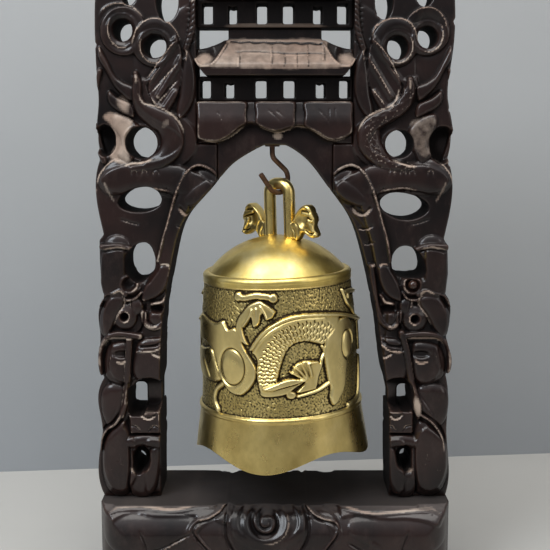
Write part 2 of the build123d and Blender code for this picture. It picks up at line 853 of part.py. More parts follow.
with BuildPart() as bell_dome:
    with BuildSketch(section_plane):
        with BuildLine():
            ThreePointArc(
                *ring_section([
                    (0, dome_level),
                    (dome_mid, dome_level + dome_drop(dome_mid)),
                    (dome_radius, dome_edge_level),
                ])
            )
            Polyline(
                *ring_section([
                    (dome_radius, dome_edge_level),
                    (body_top_radius, dome_edge_level + 3),
                    (body_top_radius, body_top_level),
                    (inner_dome_radius, body_top_level),
                    (inner_dome_radius, dome_edge_level + 2),
                ])
            )
            ThreePointArc(
                *ring_section([
                    (inner_dome_radius, dome_edge_level + 2),
                    (dome_mid, dome_level + dome_drop(dome_mid) + bell_wall * 1.2),
                    (crown_pad_radius, crown_pad_level),
                ])
            )
            Polyline(*ring_section([(crown_pad_radius, crown_pad_level), (0, crown_pad_level), (0, dome_level)]))
        make_face()
        with Locations(*ring_section([(rim_radius, body_top_level - rim_tube - rim_lift)])):
            Circle(rim_tube)
    revolve(axis=bell_axis)
    # holes for the crown loop's tenons, through the thick flat crown
    loop_heading = radians(loop_turn)
    crown_feet = [
        (side * loop_spacing / 2 * cos(loop_heading), side * loop_spacing / 2 * sin(loop_heading))
        for side in (-1, 1)
    ]
    with BuildSketch(Plane.XY.offset(-crown_pad_level)):
        with Locations(*crown_feet):
            Circle(crown_tenon_radius + fit_gap)
    extrude(amount=crown_pad_level - dome_level + 2, mode=Mode.SUBTRACT)
hang(bell_dome.part, "bell_dome")

# ---------------------------------------------------------------- crown loop
loop_plane = Plane(
    origin=(0, 0, 0),
    x_dir=(cos(loop_heading), sin(loop_heading), 0),
    z_dir=(sin(loop_heading), -cos(loop_heading), 0),
)
loop_half = loop_spacing / 2
loop_bar_z = loop_rest_gap + loop_wire_radius
foot_z = -dome_level - dome_drop(loop_half + loop_offset) - 4
head_outline_points = [
    (20, -45.5), (23.5, -42.4), (27.5, -37.6), (32.9, -40), (39.4, -41.8), (43, -39.5), (40.1, -33.4), (40.7, -25),
    (38.4, -19.8), (36, -14.6), (31.4, -12.4), (26.8, -14.5), (22.8, -18.3), (20.2, -21.9), (16.8, -28.2), (11, -32.4),
]

with BuildPart() as crown_loop:
    with BuildLine(loop_plane) as bar:
        FilletPolyline(
            (-loop_half, foot_z),
            (-loop_half, loop_bar_z),
            (loop_half, loop_bar_z),
            (loop_half, foot_z),
            radius=loop_corner_radius,
        )
    with BuildSketch(Plane(origin=bar.line @ 0, z_dir=bar.line % 0)):
        Circle(loop_wire_radius)
    sweep()
    # two small dragon heads, looking outwards from the loop's feet
    for side in (-1, 1):
        with BuildSketch(loop_plane):
            with BuildLine():
                Spline(*[(side * u, z) for u, z in head_outline_points])
                Polyline(
                    (side * 11, head_outline_points[-1][1]),
                    (side * 11, foot_z),
                    (side * 20, foot_z),
                    (side * 20, head_outline_points[0][1]),
                )
            make_face()
        extrude(amount=head_thickness / 2, both=True)
    # the feet follow the dome
    with BuildSketch(section_plane):
        with BuildLine():
            ThreePointArc(
                *ring_section([
                    (0, dome_level),
                    (dome_mid, dome_level + dome_drop(dome_mid)),
                    (dome_radius, dome_edge_level),
                ])
            )
            Polyline(*ring_section([(dome_radius, dome_edge_level), (0, dome_edge_level), (0, dome_level)]))
        make_face()
    revolve(axis=bell_axis, mode=Mode.SUBTRACT)
    # tenons through the dome, riveted over inside
    rivet_z = -crown_pad_level - crown_washer_thickness
    with BuildSketch(Plane.XY.offset(rivet_z)):
        with Locations(*crown_feet):
            Circle(crown_tenon_radius)
    extrude(amount=crown_pad_level - dome_level + crown_washer_thickness)
    with BuildSketch(Plane.XY.offset(rivet_z)):
        with Locations(*crown_feet):
            Circle(rivet_head_radius)
    extrude(amount=-rivet_head_height, taper=25)
hang(crown_loop.part, "crown_loop")

with BuildPart() as crown_washers:
    with BuildSketch(Plane.XY.offset(-crown_pad_level)):
        with Locations(*crown_feet):
            Circle(crown_washer_radius)
            Circle(crown_tenon_radius + fit_gap, mode=Mode.SUBTRACT)
    extrude(amount=-crown_washer_thickness)
hang(crown_washers.part, "crown_washers")
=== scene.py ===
"""Looks of a cast temple bell in its carved stand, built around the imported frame.

Each carved piece keeps the outline and the half thickness of its CAD solid. Rounded forms, veins and scales are
raised on that thickness or cut into it, alike on the front and the back, and a new surface is made of the sum.
"""
import math

import bpy
import numpy as np
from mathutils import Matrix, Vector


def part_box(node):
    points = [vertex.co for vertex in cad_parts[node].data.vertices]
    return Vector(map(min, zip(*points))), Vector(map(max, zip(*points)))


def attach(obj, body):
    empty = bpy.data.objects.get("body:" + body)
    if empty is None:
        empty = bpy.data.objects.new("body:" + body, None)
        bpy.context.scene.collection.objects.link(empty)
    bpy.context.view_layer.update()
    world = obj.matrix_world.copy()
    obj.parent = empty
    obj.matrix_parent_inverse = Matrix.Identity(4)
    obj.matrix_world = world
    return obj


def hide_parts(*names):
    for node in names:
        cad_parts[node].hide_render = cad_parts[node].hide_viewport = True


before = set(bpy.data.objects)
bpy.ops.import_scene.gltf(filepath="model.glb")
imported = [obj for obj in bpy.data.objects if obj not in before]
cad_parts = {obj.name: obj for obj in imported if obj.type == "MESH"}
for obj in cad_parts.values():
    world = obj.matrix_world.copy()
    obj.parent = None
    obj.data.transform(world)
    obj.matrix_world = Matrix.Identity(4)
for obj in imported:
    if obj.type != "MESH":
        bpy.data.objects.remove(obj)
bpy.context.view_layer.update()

import openvdb
from mathutils import Vector

MM = 0.001
STAND_Z = 84.0  # the base's top, mm
WOOD_STEP = 0.8  # grid of the carved wood, mm
BAND_VOXELS = 8  # grid steps to which distances are known on each side of a surface
SOFT_LIMIT = 2.0  # mm over which relief is pressed in under a piece's limit
EDGE_PASSES = 5  # smoothing that tells edges from flats, and the mm at which an edge counts as full
EDGE_FULL = 0.9
SHADE_BLUR_PASSES = 110  # smoothing that a face's lows are measured from for the painted shade in them, and the mm at which that shade counts as full
SHADE_FULL_DEPTH = 2.6


# ------------------------------------------------------------------ lines and height maps
def smooth(points, closed=False, steps=7):
    """A Catmull-Rom curve through the points."""
    p = np.asarray(points, float)
    if len(p) == 2:
        return p
    if closed:
        p = np.vstack([p[-1], p, p[0], p[1]])
    else:
        p = np.vstack([2 * p[0] - p[1], p, 2 * p[-1] - p[-2]])
    t = np.linspace(0, 1, steps, endpoint=False)[:, None]
    out = []
    for a, b, c, d in zip(p[:-3], p[1:-2], p[2:-1], p[3:]):
        bend = (2 * a - 5 * b + 4 * c - d) * t ** 2 + (3 * b - a - 3 * c + d) * t ** 3
        out.append(0.5 * (2 * b + (c - a) * t + bend))
    return np.vstack([*out, p[-2][None]])


def arc(centre, radii, angles):
    """Points of an ellipse at the angles, in radians."""
    return [(centre[0] + radii[0] * math.cos(a), centre[1] + radii[1] * math.sin(a)) for a in angles]


def shifted(points, across, up):
    """The points moved by the same lengths."""
    return [(x + across, z + up) for x, z in points]


def hump(distance, width):
    """1 on a line, falling to nothing a little beyond half the width."""
    return np.exp(-((distance / (width * 0.5)) ** 2))


def blurred(field, passes):
    """The array smoothed along every axis."""
    for _ in range(passes):
        for axis in range(field.ndim):
            before = np.roll(field, 1, axis)
            after = np.roll(field, -1, axis)
            edge = [slice(None)] * field.ndim
            edge[axis] = 0
            before[tuple(edge)] = field[tuple(edge)]
            edge[axis] = -1
            after[tuple(edge)] = field[tuple(edge)]
            field = field * 0.5 + (before + after) * 0.25
    return field


class Relief:
    """Heights in mm over a face, drawn on with the forms a carver cuts, and how far the face is rubbed bare."""

    def __init__(self, a, b, square=2.0):
        self.square = square
        self.a = np.asarray(a, float)
        self.b = np.asarray(b, float)
        self.h = np.zeros((len(a), len(b)), np.float32)
        self.bare = np.zeros_like(self.h)

    def round_back(self, share):
        """Height over a form from its middle (0) to its foot (1); squarer backs have flatter tops."""
        return np.clip(1 - np.clip(share, 0, 1) ** self.square, 0, 1) ** (1 / self.square)

    def lift(self, at, where, height):
        """Raises a part of the map to a height, where it isn't there already."""
        self.h[at] = np.where(where, np.maximum(self.h[at], height), self.h[at])

    def window(self, points, reach):
        """The part of the map around points."""
        low = points.min(axis=0) - reach
        high = points.max(axis=0) + reach
        i = np.searchsorted(self.a, (low[0], high[0]))
        j = np.searchsorted(self.b, (low[1], high[1]))
        return slice(i[0], i[1]), slice(j[0], j[1])

    def near(self, line, reach):
        """The part of the map around a line, with each point's distance, share of the length along, and side."""
        at = self.window(line, reach)
        a = self.a[at[0]][:, None]
        b = self.b[at[1]][None, :]
        best = np.full(np.broadcast_shapes(a.shape, b.shape), 1e9)
        along = np.zeros_like(best)
        side = np.zeros_like(best)
        run = 0.0
        for (x0, z0), (x1, z1) in zip(line[:-1], line[1:]):
            dx, dz = x1 - x0, z1 - z0
            size = math.hypot(dx, dz)
            if size < 1e-6:
                continue
            t = np.clip(((a - x0) * dx + (b - z0) * dz) / size ** 2, 0, 1)
            px, pz = a - x0 - t * dx, b - z0 - t * dz
            d = np.hypot(px, pz)
            closer = d < best
            best = np.where(closer, d, best)
            along = np.where(closer, run + t * size, along)
            side = np.where(closer, np.sign(dx * pz - dz * px) * d, side)
            run += size
        return at, best, along, side, max(run, 1e-6)

    def band(self, points, width, height, ends=(1.0, 1.0), level=0.0, bare=None):
        """A raised round-backed band of one width or of widths at even steps; ends are shares of it at each end."""
        at, d, along, _, run = self.near(smooth(points), np.max(width))
        steps = np.broadcast_to(width, np.size(width) + (np.size(width) == 1))
        half = np.interp(along / run, np.linspace(0, 1, len(steps)), steps) / 2
        half = half * (ends[0] + (ends[1] - ends[0]) * along / run)
        back = self.round_back(d / np.maximum(half, 0.3))
        self.lift(at, back > 0, level + height * back)
        if bare:
            self.worn(points, *bare)

    def rib(self, points, width, height, fade=True, bare=None):
        """A narrow raised line added on what is there; bare is the width and strength of a rubbed line along it."""
        at, d, along, _, run = self.near(smooth(points), width * 1.6)
        share = along / run
        strength = np.clip(np.minimum(share, 1 - share) * 7 + 0.25, 0, 1) if fade else 1.0
        self.h[at] += height * strength * hump(d, width)
        if bare:
            self.worn(points, *bare)

    def cut(self, points, width, depth, fade=True, bare=None):
        """A narrow groove, as a rib turned inward."""
        self.rib(points, width, -depth, fade, bare)

    def worn(self, points, width, strength=1.0):
        """A line rubbed down to pale wood, fading towards its ends."""
        at, d, along, _, run = self.near(smooth(points), width * 1.6)
        share = along / run
        fade = np.clip(np.minimum(share, 1 - share) * 5 + 0.2, 0, 1)
        self.bare[at] = np.maximum(self.bare[at], strength * fade * hump(d, width))

    def grimed(self, points, width, strength):
        """A line where the rubbed wood keeps its dark stain."""
        at, d, _, _, _ = self.near(smooth(points), width * 1.6)
        self.bare[at] *= 1 - strength * hump(d, width)

    def crease(self, points, width, depth, strength=1.0):
        """A cut with the edge under it rubbed pale."""
        self.cut(points, width, depth)
        self.worn(shifted(points, 0, -width * 0.55), width * 0.8, strength)

    def ellipse(self, centre, radii, turn, reach):
        """The part of the map around an ellipse, and each point's distance from its centre, 1 on the ellipse."""
        corner = np.array([centre]) + np.array([[-1, -1], [1, 1]]) * max(radii)
        at = self.window(corner, reach)
        a = self.a[at[0]][:, None] - centre[0]
        b = self.b[at[1]][None, :] - centre[1]
        c, s = math.cos(math.radians(turn)), math.sin(math.radians(turn))
        return at, np.hypot((a * c + b * s) / radii[0], (-a * s + b * c) / radii[1])

    def patch(self, centre, radii, strength=1.0, turn=0.0):
        """A rubbed patch with soft edges."""
        at, rho = self.ellipse(centre, radii, turn, max(radii))
        self.bare[at] = np.maximum(self.bare[at], strength * np.exp(-(rho ** 3)))

    def boss(self, centre, radii, height, turn=0.0, level=0.0):
        """A raised dome with an elliptical foot."""
        at, rho = self.ellipse(centre, radii, turn, 1)
        back = self.round_back(rho)
        self.lift(at, back > 0, level + height * back)

    def pit(self, centre, radii, depth):
        """A hollow with a level floor and soft edges."""
        at, rho = self.ellipse(centre, radii, 0, max(radii))
        self.h[at] -= depth * np.exp(-(rho ** 4) * 0.9)

    def ring(self, centre, radii, width, height):
        """A raised line along an ellipse, or a groove where the height is negative."""
        at, rho = self.ellipse(centre, radii, 0, width * 2)
        self.h[at] += height * hump((rho - 1) * sum(radii) / 2, width)

    def within(self, points, reach):
        """The part of the map around a closed curve, each point's distance from it and whether it is inside."""
        line = smooth(points, closed=True)
        at, d, _, _, _ = self.near(line, reach)
        a = self.a[at[0]][:, None]
        b = self.b[at[1]][None, :]
        inside = np.zeros(d.shape, bool)
        for (x0, z0), (x1, z1) in zip(line[:-1], line[1:]):
            if z0 == z1:
                continue
            inside ^= ((z0 > b) != (z1 > b)) & (a < (x1 - x0) * (b - z0) / (z1 - z0) + x0)
        return at, d, inside

    def plate(self, points, height, edge, level=0.0):
        """A closed form with its edge rounded over the given distance."""
        at, d, inside = self.within(points, edge)
        self.lift(at, inside, level + height * self.round_back(1 - d / edge))

    def rubbed(self, points, strength, edge):
        """A closed area rubbed down to pale wood, fading in over the given distance."""
        at, d, inside = self.within(points, edge)
        fade = np.where(inside, np.clip(0.5 + d / edge, 0, 1), np.clip(0.5 - d / edge, 0, 1))
        self.bare[at] = np.maximum(self.bare[at], strength * fade)

    def scales(self, points, width, pitch, height, wear):
        """Lapped scales along a band, with rubbed tips."""
        at, d, along, side, _ = self.near(smooth(points), width / 2)
        q, t = along / pitch, side / pitch
        layers = []
        for shift in (0.0, 0.5):
            scallop = 0.9 * (1 - (2 * np.mod(t + shift, 1) - 1) ** 2)
            layers.append(1 - np.mod((q + 2 * shift + scallop) / 2, 1))
        lap = np.maximum(*layers)
        fall = np.clip((width / 2 - d) / (width * 0.12), 0, 1)
        self.h[at] += height * (lap - 0.75) * fall
        self.bare[at] = np.maximum(self.bare[at], wear * fall * np.clip((lap - 0.84) / 0.12, 0, 1))

    def spiral(self, centre, radius, turns, width, depth, start=0.0, sense=1, core=0.08):
        """A cut that coils in from the radius to the given share of it."""
        t = np.linspace(0, 1, int(26 * turns))
        angle = math.radians(start) + sense * t * turns * 2 * math.pi
        r = radius * (1 - (1 - core) * t)
        self.cut(np.stack([centre[0] + r * np.cos(angle), centre[1] + r * np.sin(angle)], 1), width, depth)


class Moved:
    """A relief drawn on in a piece's own lengths: a rule moves each point before a tool is used there."""

    def __init__(self, relief, rule):
        self.relief, self.rule = relief, rule

    def __getattr__(self, tool):
        def use(points, *sizes, **settings):
            moved = self.rule(*points) if np.ndim(points) == 1 else [self.rule(*point) for point in points]
            getattr(self.relief, tool)(moved, *sizes, **settings)
        return use


# ------------------------------------------------------------------ wood, brass and iron
BLACK = (0, 0, 0)
WHITE = (1, 1, 1)


def put(socket, value):
    """Links a shader value to a socket, or sets the socket to a number, a vector or a colour."""
    if isinstance(value, Value):
        value.socket.id_data.links.new(value.socket, socket)
    else:
        socket.default_value = (*value, 1) if socket.type == "RGBA" else value


class Value:
    """A value in a shader; arithmetic on it adds the maths nodes that work it out."""

    def __init__(self, socket):
        self.socket = socket

    def maths(self, operation, other=0.0, swapped=False):
        made = self.socket.id_data.nodes.new("ShaderNodeMath")
        made.operation = operation
        for place, value in enumerate((other, self) if swapped else (self, other)):
            put(made.inputs[place], value)
        return Value(made.outputs[0])

    def clamped(self):
        self.socket.node.use_clamp = True
        return self

    def highest(self, other):
        return self.maths("MAXIMUM", other)

    def __add__(self, other):
        return self.maths("ADD", other)

    def __sub__(self, other):
        return self.maths("SUBTRACT", other)

    def __rsub__(self, other):
        return self.maths("SUBTRACT", other, swapped=True)

    def __mul__(self, other):
        return self.maths("MULTIPLY", other)


class Shader:
    """The nodes of a material or of the world."""

    def __init__(self, owner):
        owner.use_nodes = True
        self.owner = owner
        self.tree = owner.node_tree

    def node(self, kind, out, inputs=None, **settings):
        """The value that a new node gives out."""
        made = self.tree.nodes.new(kind)
        for key, value in settings.items():
            setattr(made, key, value)
        for key, value in (inputs or {}).items():
            put(made.inputs[key], value)
        return Value(made.outputs[out])

    def attribute(self, name):
        return self.node("ShaderNodeAttribute", "Fac", attribute_name=name)

    def place(self, space, axis):
        return self.node("ShaderNodeSeparateXYZ", axis, {0: self.node("ShaderNodeTexCoord", space)})

    def noise(self, scale, detail=4.0, stretch=(1, 1, 1), roughness=0.55, distortion=0.0):
        where = self.node("ShaderNodeTexCoord", "Object")
        mapped = self.node("ShaderNodeMapping", "Vector", {"Vector": where, "Scale": stretch})
        return self.node("ShaderNodeTexNoise", "Fac", {
            "Vector": mapped, "Scale": scale, "Detail": detail, "Roughness": roughness, "Distortion": distortion})

    def ramp(self, value, *stops):
        colour = self.node("ShaderNodeValToRGB", "Color", {"Fac": value})
        elements = colour.socket.node.color_ramp.elements
        while len(elements) < len(stops):
            elements.new(0.5)
        for element, (position, tint) in zip(elements, stops):
            element.position = position
            element.color = (*tint, 1)
        return colour

    def step(self, value, low, high):
        return self.ramp(value, (low, BLACK), (high, WHITE))

    def mix(self, share, first, second, mode="MIX"):
        # the node has a set of sockets for each kind of data; 0, 6, 7 and 2 are those for colours
        return self.node("ShaderNodeMix", 2, {0: share, 6: first, 7: second}, data_type="RGBA", blend_type=mode)

    def bump(self, height, strength, distance):
        return self.node("ShaderNodeBump", "Normal", {"Height": height, "Strength": strength, "Distance": distance})

    def surface(self, inputs):
        """The material, with these inputs of its surface."""
        for name, value in inputs.items():
            put(self.tree.nodes["Principled BSDF"].inputs[name], value)
        return self.owner


def new_shader(name):
    return Shader(bpy.data.materials.new(name))


def wood_material(name="carved_wood_look", dusty=0.0, shade_tone=1.0):
    """Dark stained hardwood: lacquered on the rounds, dull in the hollows, pale where it is rubbed bare; painted shade
    makes the hollows black and the walls of holes dark.

    Dusty is how much dust lies on level tops, and a shade tone below 1 darkens the whole of a piece as painted shade.
    """
    look = new_shader(name)
    edge, bare, low = (look.attribute(label) for label in ("edge", "bare", "low"))
    normal = look.node("ShaderNodeNewGeometry", "Normal")
    grain = look.noise(26, 6, (1, 1, 0.12), 0.6, 0.4)
    broad = look.noise(14, 4)
    fine = look.noise(150, 5)
    stain = look.ramp(grain, (0.3, (0.0034, 0.0020, 0.0020)), (0.55, (0.0072, 0.0040, 0.0036)),
                      (0.8, (0.019, 0.0095, 0.0074)))
    stain = look.mix(look.step(broad, 0.42, 0.66) * 0.45, stain, (0.032, 0.0115, 0.0080))
    scuffs = look.step(look.noise(55, 8, (1, 1, 0.6), 0.75), 0.52, 0.70)
    stain = look.mix(scuffs * 0.5, stain, (0.042, 0.026, 0.022))
    # rounded edges are thinner in stain, and rubbed through in places
    stain = look.mix(look.step(edge, 0.25, 0.9) * 0.35, stain, (0.085, 0.045, 0.032))
    rubbed = look.step(edge * 0.55 + (broad - 0.5) * 1.7 + (fine - 0.5), 0.62, 0.80) * 0.6
    drawn = look.step(bare + (fine - 0.5) * 0.6, 0.30, 0.85)
    # the sawn walls of holes are dull, and painted shade makes them dark beside the polished faces
    faced = look.step(look.node("ShaderNodeSeparateXYZ", "Y", {0: normal}).maths("ABSOLUTE"), 0.05, 0.45)
    wear = rubbed.highest(drawn) * faced.highest(0.12)
    pale = look.ramp(broad, (0.35, (0.34, 0.235, 0.180)), (0.65, (0.47, 0.385, 0.315)))
    # painted shade: concave hollows, and faces lying lower than their surroundings, are darkened towards black
    hollow = look.step(edge * -1.0, 0.1, 0.8).highest(low)
    colour = look.mix(hollow * 0.85, stain, (0.0028, 0.0020, 0.0020))
    colour = look.mix(wear * 0.85, colour, pale)
    if dusty:
        level = look.step(look.node("ShaderNodeSeparateXYZ", "Z", {0: normal}), 0.80, 0.98)
        dust = (level * (broad * 0.8 + (dusty - 0.4))).clamped()
        colour = look.mix(dust, colour, (0.19, 0.165, 0.155))
    # painted shade: faces that look neither front nor back are darkened towards black
    colour = look.mix(faced, look.mix(0.7, colour, (0.003, 0.0022, 0.0022)), colour)
    # painted shade: a shade tone below 1 darkens the colour, and the lacquer below, of a piece that stands in shade
    if shade_tone < 1:
        colour = look.mix(1.0 - shade_tone, colour, (0.002, 0.0015, 0.0015))
    rough = broad * 0.2 + 0.35 + hollow.highest(wear) * 0.3 + (1.0 - faced) * 0.5
    lacquer = ((1.0 - hollow.highest(wear * 0.6)) * faced).clamped() * (broad * 0.9 + 0.12) * shade_tone
    bump = look.bump(grain + fine * 0.4, 0.25, 0.0008)
    return look.surface({
        "Base Color": colour, "Roughness": rough.clamped(), "Specular IOR Level": 0.12,
        "Coat Weight": lacquer.clamped(), "Coat Roughness": 0.17, "Normal": bump, "Coat Normal": bump})


def brass_material(name, tints, smoothness=0.0):
    """Cast brass from worn to polished in three tints, and dark in the ground of the relief, with patina there and
    painted shade beside the raised forms.
    """
    look = new_shader(name)
    edge = look.attribute("edge")
    cloud = look.noise(22, 5, (1, 1, 1), 0.6)
    tarnish = look.step(look.noise(60, 5, (1, 1, 0.5), 0.65), 0.42, 0.74)
    base = look.mix(tarnish * 0.4, look.ramp(cloud, *zip((0.30, 0.52, 0.75), tints)), (0.30, 0.205, 0.055))
    # the ground darkens with patina, and most of all beside the raised forms with painted shade
    ground = look.step(edge * -1.0, 0.0, 0.8)
    patina_and_shade = look.ramp(ground, (0.35, (0.21, 0.175, 0.075)), (0.95, (0.035, 0.024, 0.014)))
    base = look.mix((ground * 1.5).clamped(), base, patina_and_shade)
    rough = cloud * 0.22 + (0.17 - smoothness) + tarnish * 0.12 + ground * 0.25
    return look.surface({
        "Base Color": look.mix(look.step(edge, 0.15, 0.9) * 0.6, base, (0.93, 0.80, 0.42)),
        "Metallic": 1.0, "Roughness": rough.clamped(),
        "Normal": look.bump(look.noise(300, 4) * 0.3 + cloud, 0.06, 0.0006)})


def iron_material():
    look = new_shader("iron_look")
    rust = look.noise(160, 6)
    return look.surface({
        "Base Color": look.ramp(rust, (0.3, (0.05, 0.028, 0.018)), (0.5, (0.12, 0.06, 0.035)),
                                (0.72, (0.26, 0.17, 0.12))),
        "Metallic": 0.55, "Roughness": rust * 0.5 + 0.25, "Normal": look.bump(rust, 0.5, 0.0006)})


def plain_material(name, colour, roughness, metallic=0.0):
    look = new_shader(name)
    dark = tuple(c * 0.7 for c in colour)
    return look.surface({
        "Base Color": look.ramp(look.noise(60, 5), (0.3, dark), (0.7, colour)),
        "Roughness": roughness, "Metallic": metallic})


wood = wood_material()
# the tiers stand deep in the recess, so their wood is a copy darkened as painted shade
painted_shade_wood = wood_material("painted_shade_wood_look", shade_tone=0.3)
brass = brass_material("bell_brass_look", ((0.58, 0.425, 0.145), (0.80, 0.62, 0.235), (0.91, 0.745, 0.36)))
polished_brass = brass_material("dome_brass_look", ((0.66, 0.45, 0.10), (0.84, 0.65, 0.21), (0.95, 0.83, 0.44)), -0.05)
iron = iron_material()


# ------------------------------------------------------------------ solids as fields
def level_set(name, step, frame_axes=None):
    """Signed distances in mm on a grid around a CAD node, the grid's coordinates in mm and its lowest corner.

    Frame_axes is (axes as rows, origin in mm) of a piece that is worked in its own turned frame.
    """
    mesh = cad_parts[name].data
    points = np.empty(len(mesh.vertices) * 3, np.float32)
    mesh.vertices.foreach_get("co", points)
    mesh.calc_loop_triangles()
    triangles = np.empty(len(mesh.loop_triangles) * 3, np.int32)
    mesh.loop_triangles.foreach_get("vertices", triangles)
    points = points.reshape(-1, 3) / MM
    if frame_axes:
        points = ((points - frame_axes[1]) @ frame_axes[0].T).astype(np.float32)
    grid = openvdb.FloatGrid.createLevelSetFromPolygons(
        points, triangles=triangles.reshape(-1, 3).astype(np.uint32),
        transform=openvdb.createLinearTransform(voxelSize=step), halfWidth=BAND_VOXELS)
    low, high = grid.evalActiveVoxelBoundingBox()
    field = np.empty([h - l + 1 for l, h in zip(low, high)], np.float32)
    grid.copyToArray(field, ijk=low)
    return field, [(low[k] + np.arange(field.shape[k])) * step for k in range(3)], low


def sample(field, origin, step, points):
    """The field's values at points, by trilinear interpolation."""
    at = (points - origin) / step
    cell = np.clip(np.floor(at).astype(int), 0, np.array(field.shape) - 2)
    f = at - cell
    value = 0
    for corner in np.ndindex(2, 2, 2):
        weight = np.prod(np.where(corner, f, 1 - f), axis=1)
        value = value + weight * field[tuple((cell + corner).T)]
    return value


def quad_mesh(name, points, quads):
    """A mesh of four-sided faces, with its points in metres."""
    mesh = bpy.data.meshes.new(name)
    mesh.vertices.add(len(points))
    mesh.vertices.foreach_set("co", np.ascontiguousarray(points, np.float32).ravel())
    mesh.loops.add(quads.size)
    mesh.loops.foreach_set("vertex_index", np.ascontiguousarray(quads, np.int32).ravel())
    mesh.polygons.add(len(quads))
    mesh.polygons.foreach_set("loop_start", np.arange(0, quads.size, 4, dtype=np.int32))
    mesh.update(calc_edges=True)
    return mesh


def add_values(mesh, name, values):
    layer = mesh.attributes.new(name, "FLOAT", "POINT")
    layer.data.foreach_set("value", np.ascontiguousarray(np.clip(values, -1, 1), np.float32))


def add_object(name, mesh, material, body, replaced):
    """A piece of the visual model, that rides on a body in place of CAD nodes."""
    made = bpy.data.objects.new(name, mesh)
    bpy.context.scene.collection.objects.link(made)
    mesh.materials.append(material)
    mesh.polygons.foreach_set("use_smooth", np.ones(len(mesh.polygons), bool))
    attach(made, body)
    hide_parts(*replaced)


def skin(name, field, low, step, frame_axes, maps):
    """The field's zero surface as a mesh, with how far each point is an edge, and the values of the maps there."""
    grid = openvdb.FloatGrid(float(BAND_VOXELS * step))
    grid.copyFromArray(np.ascontiguousarray(field, np.float32), ijk=low)
    grid.transform = openvdb.createLinearTransform(voxelSize=step)
    points, quads = grid.convertToQuads(isovalue=0.0)
    placed = points @ frame_axes[0] + frame_axes[1] if frame_axes else points
    mesh = quad_mesh(name, placed * MM, quads[:, ::-1])
    soft = blurred(np.clip(field, -3, 3), EDGE_PASSES)
    add_values(mesh, "edge", sample(soft, np.array(low) * step, step, points) / EDGE_FULL)
    cells = np.rint(points / step).astype(int) - np.array(low)
    i, k = (np.clip(cells[:, axis], 0, field.shape[axis] - 1) for axis in (0, 2))
    for label, values in maps.items():
        add_values(mesh, label, values[i, k])
    mesh.validate()
    return mesh


def carve(name, node_name, draw, material, rounding=1.6, soften=2, limit=30.0, finish=None, step=WOOD_STEP, ground=None,
          body="stand", soft_limit=SOFT_LIMIT, frame_axes=None):
    """A piece with the CAD node's outline and half thickness, and relief drawn on both faces.

    Ground is (level, share): what stands above the level is lowered to that share, to leave room for relief.
    Limit is the greatest half thickness. Rounding is the radius between faces and walls. All are in mm.
    """
    field, (x, y, z), low = level_set(node_name, step, frame_axes)
    outline = blurred(field.min(axis=1), 1)
    front = y <= 0
    column = field[:, front, :] < 0
    known = column.any(axis=1)
    depth = np.where(known, -y[front][column.argmax(axis=1)], 0.0)
    # the surface lies between the first solid cell and the empty one before it
    first = np.clip(column.argmax(axis=1), 1, None)
    solid = np.take_along_axis(field[:, front, :], first[:, None, :], 1)[:, 0]
    empty = np.take_along_axis(field[:, front, :], first[:, None, :] - 1, 1)[:, 0]
    depth = depth + step * np.clip(-solid / np.maximum(empty - solid, 1e-3), 0, 1)
    # outside the outline the half thickness carries on from its neighbours
    for _ in range(6):
        spread = blurred(np.where(known, depth, 0.0), 1)
        weight = blurred(known.astype(float), 1)
        depth = np.where(known, depth, spread / np.maximum(weight, 1e-3))
        known = weight > 0.01
    depth = blurred(depth, soften)
    if ground:
        depth = np.minimum(depth, ground[0] + (depth - ground[0]) * ground[1])
    relief = Relief(x, z)
    draw(relief)
    depth = depth + relief.h
    crest = limit - 0.05 - soft_limit
    depth = np.where(depth > crest, crest + soft_limit * (1 - np.exp(-(depth - crest) / soft_limit)), depth)
    surface = np.abs(y)[None, :, None] - depth[:, None, :]
    wall = outline[:, None, :] + np.zeros_like(surface)
    joined = np.minimum(np.maximum(surface, wall), -rounding) + np.hypot(
        np.maximum(surface + rounding, 0), np.maximum(wall + rounding, 0))
    if finish:
        joined = finish(joined, field, x, y, z)
    # painted shade: the colour is darkest where the face is lower than what is around it
    hollow_shade = np.clip((blurred(depth, SHADE_BLUR_PASSES) - depth) / SHADE_FULL_DEPTH - 0.15, 0, 1)
    mesh = skin(name, joined, low, step, frame_axes, {"bare": relief.bare, "low": hollow_shade})
    add_object(name, mesh, material, body, [node_name])


# ------------------------------------------------------------------ the carved uprights
LEAN_MIDDLE = 120.0  # how far out from the middle plane an upright's lean is fullest, and over what distance it fades
LEAN_REACH = 35.0


